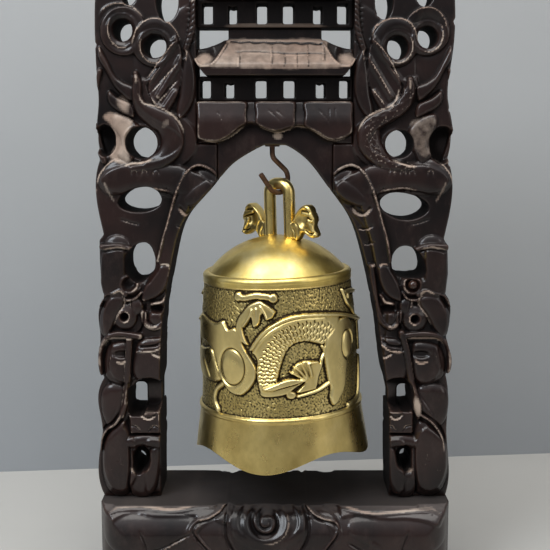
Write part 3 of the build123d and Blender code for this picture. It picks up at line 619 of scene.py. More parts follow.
def draw_upright(relief, sign, side):
    """Relief of one upright; lengths run outward from the middle plane and up from the base's top."""
    def placed(x, h):
        share = max(0.0, 1 - abs(x - LEAN_MIDDLE) / LEAN_REACH)
        return sign * (x + share * float(np.interp(h, *side["lean"]))), STAND_Z + h

    r = Moved(relief, placed)
    # two feather loops at the top, each a broad face round a hollowed eye
    r.plate([(72, 440), (74, 400), (78, 372), (84, 350), (96, 346), (112, 352), (122, 372), (122, 400), (112, 420),
             (92, 432)], 2.0, 6, -1)
    relief.square = 5.0
    r.boss((131, 418), (20, 21), 3.4)
    r.boss((103.5, 408), (20.4, 21), 4.8)
    r.plate([(84, 408), (97, 391), (110, 371), (103, 352), (96, 347), (88, 356), (82, 372), (80, 392)], 3.6, 3)
    relief.square = 2.0
    for centre, radii in side["eyes"]:
        r.pit(centre, (radii[0] + 1.5, radii[1] + 1.5), 7.0)
        turn = arc(centre, (radii[0] + 2.4, radii[1] + 2.4), (-2.2, -1.6, -1.0, -0.4, 0.2, 0.7))
        r.rib(turn, 1.6, 0.6, bare=(1.3, 0.8))
    for rim, strength in ((side["outer_rim"], 0.75), (side["inner_rim"], 0.95)):
        r.rib(rim, 1.8, 0.8, bare=(1.3, strength))
    for line in side["facets"]:
        r.cut(shifted(line, 0.8, 0.8), 1.6, 0.8)
        r.worn(line, 1.1)
    r.band([(69, 442), (70, 428), (73, 415), (77, 403)], 8, 3.4, (1.0, 0.7), 0.5)
    for h in np.arange(408, 440, 4.5):
        r.cut([(69, h + 3), (72, h), (75.5, h - 1)], 1.2, 0.8, fade=False)
    r.plate([(77, 404), (71.5, 396), (68.5, 382), (69, 366), (74, 351), (82, 343), (86, 350), (83, 366), (81, 386)],
            4.4, 5)
    r.worn([(77, 403), (76, 398), (76.5, 392)], 1.6, 0.8)
    # two smooth feathers and the rubbed strut outside the tail
    r.plate([(123, 370), (132, 375), (139, 381), (145, 393), (152, 405), (153, 396), (147, 384), (140, 371),
             (134, 364), (125, 358)], 4.6, 4)
    r.plate([(124, 355), (136, 361), (144, 367), (146, 361), (143, 354), (134, 348), (123, 344)], 4.2, 3.5)
    r.cut([(122, 357), (134, 361), (145, 369)], 1.6, 1.6)
    r.patch((132, 355), (6, 9), side["feather_wear"], -30 * sign)
    r.plate([(117, 335), (129, 345), (140, 347), (142, 337), (136, 328), (135, 320), (138, 311), (128, 303),
             (122, 313), (117, 321)], 4.6, 6)
    r.rubbed(side["strut"], side["strut_wear"], 4)
    r.band([(152, 384), (157, 362), (158, 340), (155, 320), (150, 306)], 7, 3.6, (0.7, 0.8))
    # the tail, thickening as it coils round the round hole
    tail = side["tail"]
    r.band(tail, side["tail_widths"], 6.2)
    if side["scaled"]:
        r.scales(tail[1:], 12.5, 5.2, 1.6, 0.55)
    else:
        r.patch(tail[5], (4, 7), 0.4, 35 * sign)
    r.worn(side["tail_rim"], 2.0, 0.85)
    r.worn(tail[:2], 3.4, 0.7)
    r.worn(side["hole_rim"], 2.4, 0.95)
    hole, radius = side["round"]
    r.ring(hole, (radius + 1.6, radius + 1.6), 2.2, 0.8)
    # the broad body across the middle, with small notched teeth
    r.plate([(56, 286), (68, 298), (86, 303), (112, 304), (138, 308), (151, 300), (156, 288), (146, 276), (120, 280),
             (96, 278), (80, 272), (64, 270)], 4.6, 10)
    r.worn([(138, 309), (147, 303), (154, 294), (157, 284)], 1.8, 0.9)
    for x in side["teeth"]:
        r.cut([(x - 2.8, 293.5), (x - 1.9, 297.4), (x, 298.8), (x + 1.9, 297.4), (x + 2.8, 293.5)],
              1.3, 0.8, bare=(0.9, 0.6))
    r.rib([(90, 279), (102, 281.5), (114, 282.5), (126, 280)], 2.2, 1.2, bare=(2.0, 0.7))
    for k in range(5):
        r.cut([(95 + 6 * k, 282.5), (95.5 + 6 * k, 278.5)], 1.3, 1.4, fade=False)
    r.worn([(150, 290), (146, 278), (141, 268)], 3.4, 0.6)
    r.cut([(120, 250), (127, 251.5), (137, 255)], 1.8, 1.0)
    r.worn([(120, 249), (127, 250.5), (137, 254)], 1.1, 0.45)
    # the limb along the arch: a bead on its outer edge, a long boss and worn creases
    limb = [(50, 285), (60, 292), (68, 291), (76, 283), (82, 270), (88, 252), (93, 234), (98, 210)]
    r.band(limb, 23, 4.2, (0.6, 0.8))
    bead = [(48, 292), (58, 300), (68, 302.5), (77, 297), (84, 285), (89.5, 270), (94.5, 252), (99, 236), (102, 218)]
    r.band(bead, 3.4, 2.6, (0.9, 0.9), 3.2, bare=(1.5, 0.75))
    r.boss((65, 279), (19, 8.5), 6.4, -34 * sign, 0.6)
    r.crease([(67, 268), (72, 261.5), (79, 260.5), (85, 267)], 3.0, 2.4)
    r.crease([(73, 247), (80, 246), (87, 250)], 1.8, 1.4, 0.8)
    r.crease([(78, 234), (82, 232.5), (88, 235)], 1.6, 1.2, 0.6)
    # its end: a leaf, a curled tusk round the mouth
    r.plate([(91, 213), (99, 215), (106, 206), (112, 192), (112, 182), (104, 184), (97, 190), (92, 201)], 6.2, 5)
    r.worn([(92, 213.5), (96, 215.5), (100, 214.5)], 2.0)
    tusk = [(85.5, 213), (88, 193), (90.5, 177), (95.5, 164), (102.5, 158), (109, 162), (111, 171)]
    r.band(tusk, 7.5, 5.6, (0.8, 0.8))
    r.cut(tusk[:5], 1.3, 1.2)
    r.worn(shifted(tusk[:5], -2.6, -0.5), 1.2, 0.6)
    r.worn([(85, 213.5), (89, 214)], 3.0, 0.9)
    r.worn([(100, 160.5), (105, 158.5), (110, 163)], 2.6, 0.8)
    r.boss((102, 166.5), (7, 7.5), 5.0)
    r.band([(94, 187), (98, 181), (105, 179.5)], 4.5, 5.2, (0.8, 0.8))
    r.worn([(95, 186), (98, 181.5), (105, 180)], 2.4, 0.9)
    r.pit((101, 175), (5.5, 3.2), 5.0)
    # collar and post outside the lower hole
    r.band([(139, 228), (140, 208), (139, 188)], 26, 4.2)
    r.band([(125, 228), (137, 232), (153, 230.5)], 6.5, 5.6, (0.8, 0.9))
    r.worn([(128, 228), (138, 230.5), (153, 228)], 1.8)
    r.cut([(126, 226), (138, 228.2), (154, 225.5)], 1.4, 1.4)
    # the dragon's head: eye and lid, knot, flame, ear and nostril
    r.boss(side["eye"], (11.5, 10.5), 5.2, 20 * sign)
    r.ring(side["eye"], (7.4, 7.2), 2.4, 1.2)
    r.pit(side["eye"], (5.6, 5.4), 7.0)
    r.worn(arc(side["eye"], (7.6, 7.4), (2.2, 2.8, 3.4, 4.0, 4.6)), 2.0, 0.7)
    r.band([(127, 188), (133, 192), (142, 189)], 5.5, 5.8, (0.9, 0.6))
    r.worn([(128, 187.5), (134, 191.5), (142, 188.5)], 2.2, 0.9)
    r.band([(113, 190), (118, 184), (126, 183), (130, 187)], 4.0, 4.6, (0.7, 0.9))
    r.worn([(113, 190), (118, 184), (126, 183)], 1.3, 0.6)
    r.boss((117, 177), (7, 8), 4.0)
    r.cut([(119, 185), (120.5, 180), (119, 174)], 1.3, 1.4)
    r.worn([(120.5, 184), (121.5, 180), (120.5, 175)], 1.0, 0.6)
    r.plate([(129.5, 186.2), (136.8, 188), (145, 186), (151, 180), (156, 170), (156, 154), (149, 149), (141, 158),
             (135, 169), (129, 177), (127.5, 182)], 6.0, 6)
    r.worn([(133, 187.5), (129, 185.5), (127.5, 182), (129, 177), (135, 169), (141, 158)], 1.7, 0.8)
    r.cut([(131, 174), (137, 165), (142, 155)], 1.6, 1.6)
    r.band([(143, 189), (151, 186), (156, 177)], 4, 5.2, (0.8, 0.5))
    r.boss(side["nostril"], (11.5, 12.5), 5.2)
    r.ring(side["nostril"], (4.9, 5.1), 2.6, 1.6)
    r.pit(side["nostril"], (3.4, 3.4), 9.0)
    r.worn(arc(side["nostril"], (5.0, 5.2), (1.2, 2.0, 2.8, 3.6, 4.4, 5.2)), 1.9, 0.9)
    r.cut([(110, 180), (110.5, 165), (112.5, 155), (117, 150)], 1.8, 2.6)
    # the lip, flanged over the outer edge
    r.band([(113, 150), (123, 152), (136, 152.5), (147, 150), (154.5, 142), (157, 131), (156.5, 115)], 7.5, 5.8,
           (0.8, 0.5))
    r.worn([(115, 147), (124, 148), (136, 148.5), (147, 147), (153, 140)], 2.4, 0.9)
    r.cut([(116, 143), (130, 144.5), (143, 142), (149, 134), (151, 118)], 1.8, 2.2)
    # two smooth jowls, each with a worn crease
    r.plate([(91, 147), (103, 149), (113, 146), (117, 134), (119, 118), (114, 109), (100, 108), (92, 112), (90, 128)],
            5.2, 9)
    r.band([(92, 144), (97, 141), (103.5, 137), (115, 136)], 3.2, 6.6, (0.8, 0.8), bare=(2.2, 1.0))
    r.cut([(96, 146), (103, 142), (114, 141)], 2.2, 2.6)
    r.crease([(94, 133), (98, 132), (105, 136)], 2.4, 2.2)
    r.plate([(124, 144), (136, 145), (147, 141), (152, 130), (152, 115), (144, 107), (131, 105), (125, 113),
             (122.5, 130)], 5.4, 9)
    r.pit((131, 134), (7, 3.4), 3.6)
    r.worn([(124.5, 129), (130, 126), (138, 128)], 2.8)
    r.cut([(141, 140), (142.5, 132), (145, 121)], 1.2, 1.0)
    r.worn([(143, 137), (144.5, 130), (146, 122)], 0.9, 0.4)
    # three thin strands from the nose to a rubbed chip, or on down to the outer edge
    r.band(side["strand"], 8, 6.6, (0.8, 0.8))
    strand = [placed(*point) for point in side["strand"]]
    for offset in (-1.5, 1.3):
        relief.cut(shifted(strand, sign * offset, 0), 1.0, 1.1)
    relief.worn(shifted(strand, sign * 2.8, 0), 0.9, 0.5)
    if side["chip_wear"]:
        r.plate([(123.5, 100), (129, 98), (132.5, 82), (129, 73), (124, 85)], 6.4, 2.5)
        r.patch((128, 86), (3.6, 10), side["chip_wear"], 10 * sign)
    r.plate([(129, 103), (141, 107), (152, 104), (157, 94), (156, 78), (150, 67), (140, 71), (132, 80), (129, 92)],
            5.2, 9)
    r.plate([(130, 72), (142, 66), (153, 56), (157, 42), (157, 22), (151, 6), (138, 1), (127, 8), (123, 28),
             (124.5, 52)], 5.6, 10)
    line = side["line"]
    r.band(line, 3.8, 6.6, (0.9, 0.5))
    r.cut(shifted(line, 2.2, 1.5), 1.8, 2.0)
    r.worn(line, 1.4, 0.7)
    for mark in ([(133, 37), (134, 32), (138, 34)], [(138, 43), (137, 37), (141, 36)],
                 [(145, 31), (148, 26.5), (151, 29)]):
        r.cut(mark, 1.0, 0.7, bare=(0.8, 0.4))
    # the small square face, the roll below it and the paw
    r.plate([(100, 81), (107, 82), (117, 82), (124.5, 81), (125, 72), (124.5, 61), (117, 60), (107, 60), (100, 61),
             (99.5, 71)], 5.0, 2.5)
    r.rib([(101.5, 64), (101.5, 79.5), (107, 80), (114, 80)], 1.2, 0.8)
    r.worn([(101.5, 70), (101.5, 79.5), (107, 80), (114, 80)], 1.0, 0.7)
    r.crease([(103, 78.5), (109, 74.5), (116, 79)], 2.2, 1.8)
    for curl in ([(101, 65), (105, 67.5), (109.5, 62)], [(115, 62), (118.5, 67), (124, 68)]):
        r.cut(curl, 1.6, 1.4)
        r.worn(shifted(curl, 0, 1.0), 1.3, 0.8)
    r.band([(101, 52), (112, 54), (126, 52)], 13, 5.8, (1.0, 0.9))
    r.cut([(100, 59.3), (113, 59.6), (126, 59.3)], 1.6, 2.4)
    r.plate([(101, 47), (108, 47), (111, 38), (115, 30), (121, 25), (127, 28), (131, 18), (128, 5), (118, -1),
             (108, 4), (103, 20)], 5.2, 6)
    r.cut([(110, 44), (112, 36), (116, 29)], 1.4, 1.6)
    r.worn([(115, 31), (121, 25), (127, 29)], 3.4, 0.7)
    r.cut([(126, 50), (126.5, 30), (129, 12), (127, 2)], 2.0, 2.6)


# What differs between the two uprights. Lean holds heights and the shift outward at each; the rims, facets, strut, tail
# and strand are lines; eyes are the two hollows in the feather loops and round is the hole that the tail coils about.
right_relief = {
    "lean": ((0, 1), (0, 0)),
    "outer_rim": [(113.6, 428), (119.8, 433.6), (127.9, 437.7), (136.2, 437.2), (142.5, 432.6), (146.8, 425.9),
                  (148, 416.7)],
    "inner_rim": [(83.8, 409.6), (85.2, 418.9), (89.8, 424.4), (97, 428), (105.3, 429), (112.6, 427.5),
                  (118.9, 421.8), (122.7, 412.6), (124.4, 402.4)],
    "eyes": [((132.7, 416), (9.9, 13.5)), ((106.4, 405), (9.9, 12))],
    "facets": [[(83.6, 411.4), (96.6, 397.8), (109.2, 375.5)], [(81.3, 394.9), (90.9, 379.4), (101.5, 361)],
               [(83.6, 369.7), (88, 364), (95.2, 355)]],
    "strut": [(118, 341), (128, 346), (140, 344), (140, 336), (136, 326), (137, 316), (132, 308), (124, 312),
              (119, 324), (117, 334)],
    "strut_wear": 0.42, "feather_wear": 0.0,
    "tail": [(117, 377), (116.7, 367.7), (111.1, 354.8), (101.8, 347.5), (91.4, 342.5), (84, 337), (82, 328),
             (84, 318.5), (90.5, 309.5), (99, 303.5), (108, 301), (118, 300.5)],
    "tail_widths": (5, 11, 13, 13, 14, 17, 21, 21, 17, 12, 9, 7),
    "tail_rim": [(109.3, 373.8), (103.3, 356.4), (90.8, 350), (80.4, 344.8), (74.2, 336.5), (72.2, 329.1)],
    "hole_rim": [(101.9, 308), (109.3, 304.4), (117.8, 301.8), (125.2, 301.3)],
    "round": ((106, 321.3), 10.3), "eye": (122, 196.5), "nostril": (124.5, 166), "scaled": True,
    "teeth": (102, 112, 120, 136),
    "strand": [(113, 153), (117.7, 136), (121.2, 115), (124.5, 102), (126.6, 94)], "chip_wear": 1.0,
    "line": [(130, 79), (139.5, 73), (147, 64.5), (151.5, 55), (152.5, 45)],
}
left_relief = {
    "lean": ((0, 40, 80, 150, 200, 240), (5, 6, 8, 10, 6, 0)),
    "outer_rim": [(112.6, 428), (116.6, 433.1), (122.8, 438.2), (131, 441.3), (139.3, 441.3), (147.6, 437.2),
                  (151.5, 430)],
    "inner_rim": [(82.3, 407.6), (82.7, 412.6), (86.8, 420.3), (93.9, 426.4), (103.3, 429), (111.6, 426.9),
                  (118.9, 419.8), (122.7, 410.6), (124.4, 402.4)],
    "eyes": [((132, 419), (9.6, 13)), ((104, 405), (10, 12))],
    "facets": [[(82.7, 410.6), (92.2, 402.4), (112.4, 375.3)], [(82.4, 391.7), (96.7, 376.9), (107.9, 364.1)],
               [(83.1, 376.4), (91.6, 367.7), (102.2, 355.4)]],
    "strut": [(124, 341), (132, 345), (144, 349), (150, 344), (143, 335), (141, 322), (146, 312), (138, 304),
              (127, 306), (129, 320), (126, 332)],
    "strut_wear": 0.85, "feather_wear": 0.75,
    "tail": [(120.7, 382), (119.2, 372.8), (119.9, 361.5), (115.4, 351.6), (105.6, 344.8), (95.1, 338.6), (90, 328),
             (91.2, 316.6), (98.7, 308), (110.4, 302.9), (124.2, 299.7)],
    "tail_widths": (5, 9, 10.5, 16, 20, 21, 21, 19, 15, 11, 8),
    "tail_rim": [(119, 366), (113.8, 356.4), (101.2, 353.2), (88.8, 345.8), (81.5, 336.5), (79.5, 328)],
    "hole_rim": [(132.6, 301.8), (126.2, 303.9), (118.8, 304.4), (111.4, 306), (106, 308.6)],
    "round": ((117, 322), 13.8), "eye": (124, 197), "nostril": (127, 168), "scaled": False,
    "teeth": (104, 114, 123),
    "strand": [(120, 151), (122.5, 128), (125.5, 106), (128.5, 91), (133.5, 78)], "chip_wear": 0.0,
    "line": [(133, 79), (141, 70), (150.3, 64.8), (156, 57), (157.5, 45)],
}
for piece, sign, side in (("right", 1, right_relief), ("left", -1, left_relief)):
    carve("carved_%s_upright" % piece, piece + "_upright", lambda relief: draw_upright(relief, sign, side), wood,
          ground=(21.5, 0.3))


# ------------------------------------------------------------------ arch board, tiers and roofs
def draw_arch(relief):
    """Three smooth panels with a wavy worn edge, over the plain arch; heights are from the base's top."""
    r = Moved(relief, lambda x, h: (x, STAND_Z + h))
    left_edge = [(-68, 327), (-60, 324), (-50, 323.5), (-38, 328.5), (-25.5, 337.5)]
    middle_edge = [(-16.6, 339), (-8, 334), (2, 331.5), (10, 333), (17, 336)]
    right_edge = [(26, 336), (36, 331.5), (46, 325.5), (55, 324.5), (67, 330)]
    for edge in (left_edge, middle_edge, right_edge):
        (x0, h0), (x1, h1) = edge[0], edge[-1]
        r.plate([*edge, (x1 + 0.3, (h1 + 357) / 2), (x1, 358), ((x0 + x1) / 2, 358.5), (x0, 358),
                 (x0 - 0.3, (h0 + 357) / 2)], 4.2, 2.2)
        r.worn(edge, 2.0, 0.95)
        r.worn([(x0, 357.5), ((x0 + x1) / 2, 358), (x1, 357.5)], 2.2, 0.7)
        r.worn([(x1, 354), (x1, (h1 + 350) / 2), (x1, h1)], 1.0, 0.55)
    r.worn([(10, 333.5), (17, 336), (26, 335.5), (32, 333.5)], 1.6, 0.8)
    for (x0, h0), (x1, h1) in (((-6, 351), (6, 339)), ((1, 350), (8, 344)), ((38, 351), (48, 338)),
                               ((-50, 349), (-46, 341))):
        r.cut([(x0, h0), ((x0 + x1) / 2 + 0.6, (h0 + h1) / 2), (x1, h1)], 1.1, 0.5, bare=(0.9, 0.45))
    for x in (47, 52):
        r.cut([(x, 352), (x + 0.6, 336)], 1.0, 0.6)
    # pale wood where the hook is screwed in
    r.patch((2.5, 328), (4.4, 3.6))


def draw_tier(relief, bottom, ledge):
    """Plain posts and rails, with a worn ledge along the foot of the upper one."""
    relief.worn([(-46, bottom + 1), (-20, bottom + 1.2), (20, bottom + 1.2), (47, bottom + 0.6)], 4.6, ledge)


def draw_roof(relief, bottom):
    """A sheet of scribed tiles, rubbed pale, between corners hollowed like shells; heights are from its bottom."""
    r = Moved(relief, lambda x, h: (x, bottom + h))
    r.rubbed([(-39, 33), (0, 33), (43, 33), (46, 24), (52, 14), (60, 7), (30, 5), (0, 5), (-30, 6), (-58, 7),
              (-50, 15), (-42, 26)], 0.68, 3)
    r.worn([(-38, 31.5), (0, 31), (46, 30.5)], 3.0)
    scribed = [[(-34, 19.5), (-22, 20), (-8, 19.5), (6, 18.5), (18, 18), (29, 18.5), (42, 18)]]
    for x, low, high in ((-32, 6, 18), (-3.5, 7, 27), (7.5, 7, 18), (18, 6, 18), (28, 7, 26), (42, 12, 26)):
        scribed.append([(x, high), (x + 0.6, (low + high) / 2), (x, low)])
    for line in scribed:
        r.cut(shifted(line, 0.7, 0.7), 1.3, 0.7, fade=False)
        r.grimed(shifted(line, 0.9, 0.9), 1.2, 0.45)
        r.worn(shifted(line, -0.5, -0.5), 1.3)
    ragged = [(x, 28.8 - 0.02 * x + 0.5 * math.sin(x * 1.1)) for x in range(-38, 46, 4)]
    r.cut(ragged, 1.2, 0.8, fade=False)
    r.grimed(ragged, 1.7, 1.0)
    for sign in (-1, 1):
        r.pit((sign * 64, 19), (9, 9), 4.0)
        hip = [(sign * 40, 32), (sign * 44, 25), (sign * 51, 13), (sign * 58, 8), (sign * 66, 9.5),
               (sign * 72, 20)]
        r.rib(hip, 2.4, 1.6, bare=(2.2, 0.95))
        r.patch((sign * 62, 14), (9, 7), 0.8)


carve("carved_arch_board", "arch_board", draw_arch, wood, ground=(20.0, 0.6))
for tier, ledge in (("lower_colonnade", 0.0), ("upper_colonnade", 1.3)):
    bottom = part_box(tier)[0][2] / MM
    carve("carved_" + tier, tier, lambda relief: draw_tier(relief, bottom, ledge), painted_shade_wood, rounding=1.0, soften=1)
for roof in ("middle_roof", "top_roof"):
    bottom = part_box(roof)[0][2] / MM
    carve("carved_" + roof, roof, lambda relief: draw_roof(relief, bottom), wood, rounding=1.2, soften=1)


# ------------------------------------------------------------------ base plinth
def draw_base(r):
    """Cushions with a worn upper edge, pointed leaves and a coiled boss in the middle."""
    boss = (-7, 70)
    for points in ([(-150, 80), (-140, 84), (-118, 85), (-92, 83), (-68, 86), (-52, 88)],
                   [(52, 88), (62, 85), (84, 81), (112, 82), (138, 83), (150, 78)]):
        r.band(points, 9, 1.4, (0.9, 0.9))
        r.worn(shifted(points, 0, -1.0), 2.2, 0.8)
    r.plate([(-152, 76), (-120, 80), (-84, 79), (-66, 72), (-72, 62), (-96, 50), (-124, 44), (-150, 52)], 1.5, 8)
    r.plate([(70, 76), (100, 78), (136, 79), (152, 72), (150, 52), (122, 44), (92, 50), (66, 64)], 1.5, 8)
    leaf_left = [(-39, 89), (-48, 82), (-58, 77), (-70, 74), (-71, 66), (-58, 50), (-46, 36)]
    leaf_right = [(23, 89), (31, 82), (40, 77), (53, 74), (55, 66), (44, 50), (33, 36)]
    for leaf in (leaf_left, leaf_right):
        r.band(leaf, 4.0, 1.5, (0.8, 0.6))
        r.cut(shifted(leaf, 0, -2.6), 2.6, 1.6)
        r.worn(leaf[:4], 1.8, 0.75)
    r.cut([(-72, 65), (-92, 55), (-116, 45)], 2.4, 1.6)
    r.worn([(-74, 63.5), (-92, 53.5), (-108, 46)], 1.8, 0.6)
    r.cut([(64, 56), (80, 46), (96, 38)], 2.4, 1.6)
    for line in ([(-119, 66), (-113, 48), (-118, 30)], [(118, 66), (112, 48), (118, 30)]):
        r.cut(line, 2.2, 1.4)
    r.boss(boss, (33, 34), 1.6)
    r.ring(boss, (33, 34), 3.2, 1.0)
    for angles in ((-2.4, -2.8, 3.14, 2.7, 2.3), (-0.7, -0.3, 0.0, 0.4, 0.8)):
        r.cut(arc(boss, (37, 38), angles), 2.6, 1.8)
    coil = (-8, 73.5)
    r.pit(coil, (15, 13.5), 1.6)
    r.ring(coil, (18.5, 16.5), 6.0, 1.6)
    r.boss((-9, 74.5), (11, 10), 2.4, level=-0.4)
    r.spiral(coil, 13.5, 1.6, 3.0, 3.2, 150, core=0.25)
    for a, b, strength in ((1.3, 3.4, 0.4), (-1.9, 0.5, 0.6)):
        r.worn(arc(coil, (20, 18), np.linspace(a, b, 6)), 1.8, strength)
    r.patch((84, 89), (9, 4))
    for sign in (-1, 1):
        r.band([(sign * 92, 4), (sign * 96, 22), (sign * 112, 34), (sign * 140, 36)], 9, 1.5, (0.8, 0.6))
        r.spiral((sign * 122, 18), 10, 1.3, 2.6, 1.8, 0, sign)
        r.cut([(sign * 88, 30), (sign * 60, 28), (sign * 30, 24), (0, 22)], 2.4, 1.4)


WELL_ACROSS = 128.0  # the screw wells' distance from the middle, their radius and their top, mm
WELL_RADIUS = 4.8
WELL_TOP = 24.0


def screw_wells(joined, field, x, y, z):
    """The counterbored holes for the two screws, open below."""
    for sign in (-1, 1):
        well = np.hypot(x[:, None, None] - sign * WELL_ACROSS, y[None, :, None]) - WELL_RADIUS
        well = np.maximum(well, z[None, None, :] - WELL_TOP)
        joined = np.maximum(joined, -well)
    return joined


carve("carved_base", "base_plinth", draw_base, wood_material("dusty_wood_look", dusty=0.5), rounding=2.6,
      limit=61.6, finish=screw_wells, ground=(58.0, 0.6), soft_limit=0.8)

# ------------------------------------------------------------------ the bell's body and its cast dragon
REST = np.array([3.805, 0.007, 363.3])  # where the loop rests on the hook, mm; the bell swings about it
TILT = math.radians(1.7)  # how far the bell hangs out of true
AXIS_OFFSET = 4.15  # from the bell's own axis to the rest, mm
BODY_WALL = 3.0
WALL_PROFILE = ((79.3, 67.4), (109.3, 70.4), (143.0, 71.6), (187.0, 73.1), (221.2, 77.6), (237.6, 79.9))
RIM_LEVEL = 80.2  # levels are below the rest: the rim's foot, the relief's foot, the band, and where the skirt opens
RELIEF_FOOT = 191.0
BAND_LEVEL = 193.0
SKIRT_LEVEL = 196.0
RELIEF_RADIUS = 72.0
RELIEF_GROUND = -1.0  # the cast ground round the dragon, mm in from the wall
LOBE_DEPTH = 12.8
LOBE_TURN = math.radians(-12.4)
COLUMNS = 880
ROWS = 300


def hung(points):
    """Points drawn upright about the bell's own axis, moved to where it hangs."""
    x, y, z = points[..., 0] - AXIS_OFFSET, points[..., 1], points[..., 2]
    c, s = math.cos(TILT), math.sin(TILT)
    return (np.stack([c * x - s * z, y, s * x + c * z], -1) + REST) * MM


def draw_bell(r):
    """The dragon on the front: across from the middle line, and level below the hook."""
    ground = RELIEF_GROUND
    r.h += ground
    # claw and arm at the top left
    r.band([(-37, 86), (-31, 87), (-21, 85), (-12, 85.5), (-4, 87)], 6, 2.6, (0.9, 0.9), ground)
    for end in ((-37, 86), (-4, 87)):
        r.boss(end, (4, 4), 3.2, level=ground)
    r.plate([(-25, 92), (-16, 89), (-9, 93), (-3, 98), (-5, 103), (-11, 105), (-12, 100), (-15, 101), (-17, 109),
             (-22, 111), (-24, 103), (-29, 107), (-32, 113), (-30, 121), (-27, 127), (-33, 124), (-38, 116),
             (-37, 106), (-31, 98)], 3.2, 2.5, ground)
    for finger in ([(-12, 92), (-7, 95), (-3, 98.5)], [(-15, 94), (-12, 99), (-10, 104)],
                   [(-19, 96), (-19, 109)], [(-23, 97), (-26, 104), (-31, 111)]):
        r.band(finger, 2.4, 3.0, (1.0, 0.8), 0.3)
    # smooth hind limb with its boss
    r.plate([(-92, 108), (-74, 110), (-62, 111), (-53, 108), (-47, 115), (-40, 113), (-34, 118), (-32, 127),
             (-27, 135), (-22, 143), (-20, 150), (-22, 158), (-28, 166), (-35, 171), (-44, 170), (-51, 165),
             (-57, 157), (-61, 146), (-66, 136), (-78, 130), (-92, 128)], 3.4, 3.5, ground)
    r.boss((-43, 147), (11.5, 15), 4.4, level=ground)
    r.ring((-43, 147), (12.6, 16), 1.6, -1.6)
    r.band([(-54, 163), (-64, 171), (-66, 180), (-61, 188)], 4.5, 2.8, level=ground)
    r.plate([(-104, 140), (-86, 137), (-70, 135), (-63, 146), (-57, 160), (-72, 164), (-96, 160)], 2.6, 5, ground)
    r.cut([(-84, 146), (-77, 154), (-71, 161)], 2.2, 1.4)
    # scaled body, arching over the middle
    body = [(-11, 162), (-11, 147), (-6, 133), (3, 122), (16, 116), (30, 115), (42, 118), (50, 121)]
    r.plate([(-23, 130), (-16, 118), (-6, 110), (7, 104), (21, 102), (40, 103), (58, 107), (57, 114), (47, 121),
             (40, 129), (35, 128), (26, 125), (17, 125), (10, 128), (5, 134), (1, 144), (-2, 156), (-4, 166),
             (-16, 168), (-20, 152), (-19, 140)], 3.4, 5, ground)
    spine = smooth(body, steps=24)
    run = np.concatenate([[0], np.cumsum(np.hypot(*np.diff(spine, axis=0).T))])
    for k, place in enumerate(np.arange(3.0, run[-1] - 2, 3.2)):
        middle, ahead = (np.array([np.interp(p, run, spine[:, axis]) for axis in (0, 1)]) for p in (place, place + 1.0))
        along = ahead - middle
        across = np.array([-along[1], along[0]])
        for lane in (-5.4, 0.4, 6.0):
            start = middle + across * (lane - 2.2 + 1.4 * (k % 2))
            r.cut([start, start + across * 2.0 + along * 0.9, start + across * 4.2 - along * 0.4],
                  0.9, 1.9, fade=False)
    r.band([(-24, 130), (-16, 119), (-6, 110.5), (7, 104.5), (21, 102.5), (40, 103.5), (63, 107), (86, 113),
            (104, 118)], 3.0, 3.6, level=0.2)
    r.band([(-22, 133), (-14, 122), (-5, 114), (8, 108), (22, 106), (42, 107)], 2.0, 3.2)
    r.band([(102, 116), (107, 130), (106, 146)], 5, 2.8, (0.8, 0.6), ground)
    r.plate([(-15, 164), (-6, 160), (4, 156), (13, 155.5), (22, 158), (13, 160.5), (2, 163), (-8, 165.5)],
            4.6, 2.2, 0.2)
    r.plate([(-17, 167), (-14, 171), (-2, 170.5), (6, 168.5), (14, 163), (20, 160), (8, 162), (-6, 165)],
            3.2, 2.0, ground)
    r.boss((9, 170), (4.2, 3.4), 3.4, level=ground)
    r.band([(15, 171.5), (24, 170), (34, 168), (44, 164)], 3.4, 3.0, (0.8, 1.0), ground)
    # second claw under the arch, spread like a fan
    r.plate([(10, 150), (14, 144), (22, 141.5), (33, 143), (37, 148), (34, 157), (31, 166), (22, 168), (14, 168),
             (21, 160), (15, 154)], 2.6, 2.2, ground)
    for finger in ([(21, 158), (14, 153), (8.5, 150)], [(22, 157), (17, 150), (12, 146)],
                   [(23.5, 156), (21, 149), (18, 143)], [(27, 155), (26, 149), (25, 144), (33, 143.5)]):
        r.band(finger, 2.2, 3.0, (1.0, 0.7), 0.4)
    r.band([(39, 131), (41, 136), (38, 142), (36, 149), (31, 157), (30, 166)], 2.4, 2.8, level=ground)
    # smooth shoulder on the right
    r.plate([(57, 111), (49, 119), (43, 124), (41, 131), (40.5, 141), (42, 152), (44, 163), (46, 169), (45, 176),
             (47, 183), (50, 184), (55, 180), (63, 171), (66, 159), (69, 148), (76, 141), (81, 131), (80, 118),
             (70, 110)], 3.4, 3.5, ground)
    r.boss((69, 134), (7.5, 11.5), 4.4, level=ground)
    r.ring((69, 134), (8.6, 12.6), 1.6, -1.6)
    r.band([(70, 87), (76, 98), (86, 106), (93, 116)], 3.6, 2.6, level=ground)
    r.band([(74, 89), (90, 90), (108, 93)], 3.6, 2.6, level=ground)
    r.boss((80, 93), (3, 3), 2.6, level=ground)
    r.band([(107, 154), (98, 170), (88, 186), (68, 189)], 5, 2.6, level=ground)
    r.h = blurred(r.h, 1)


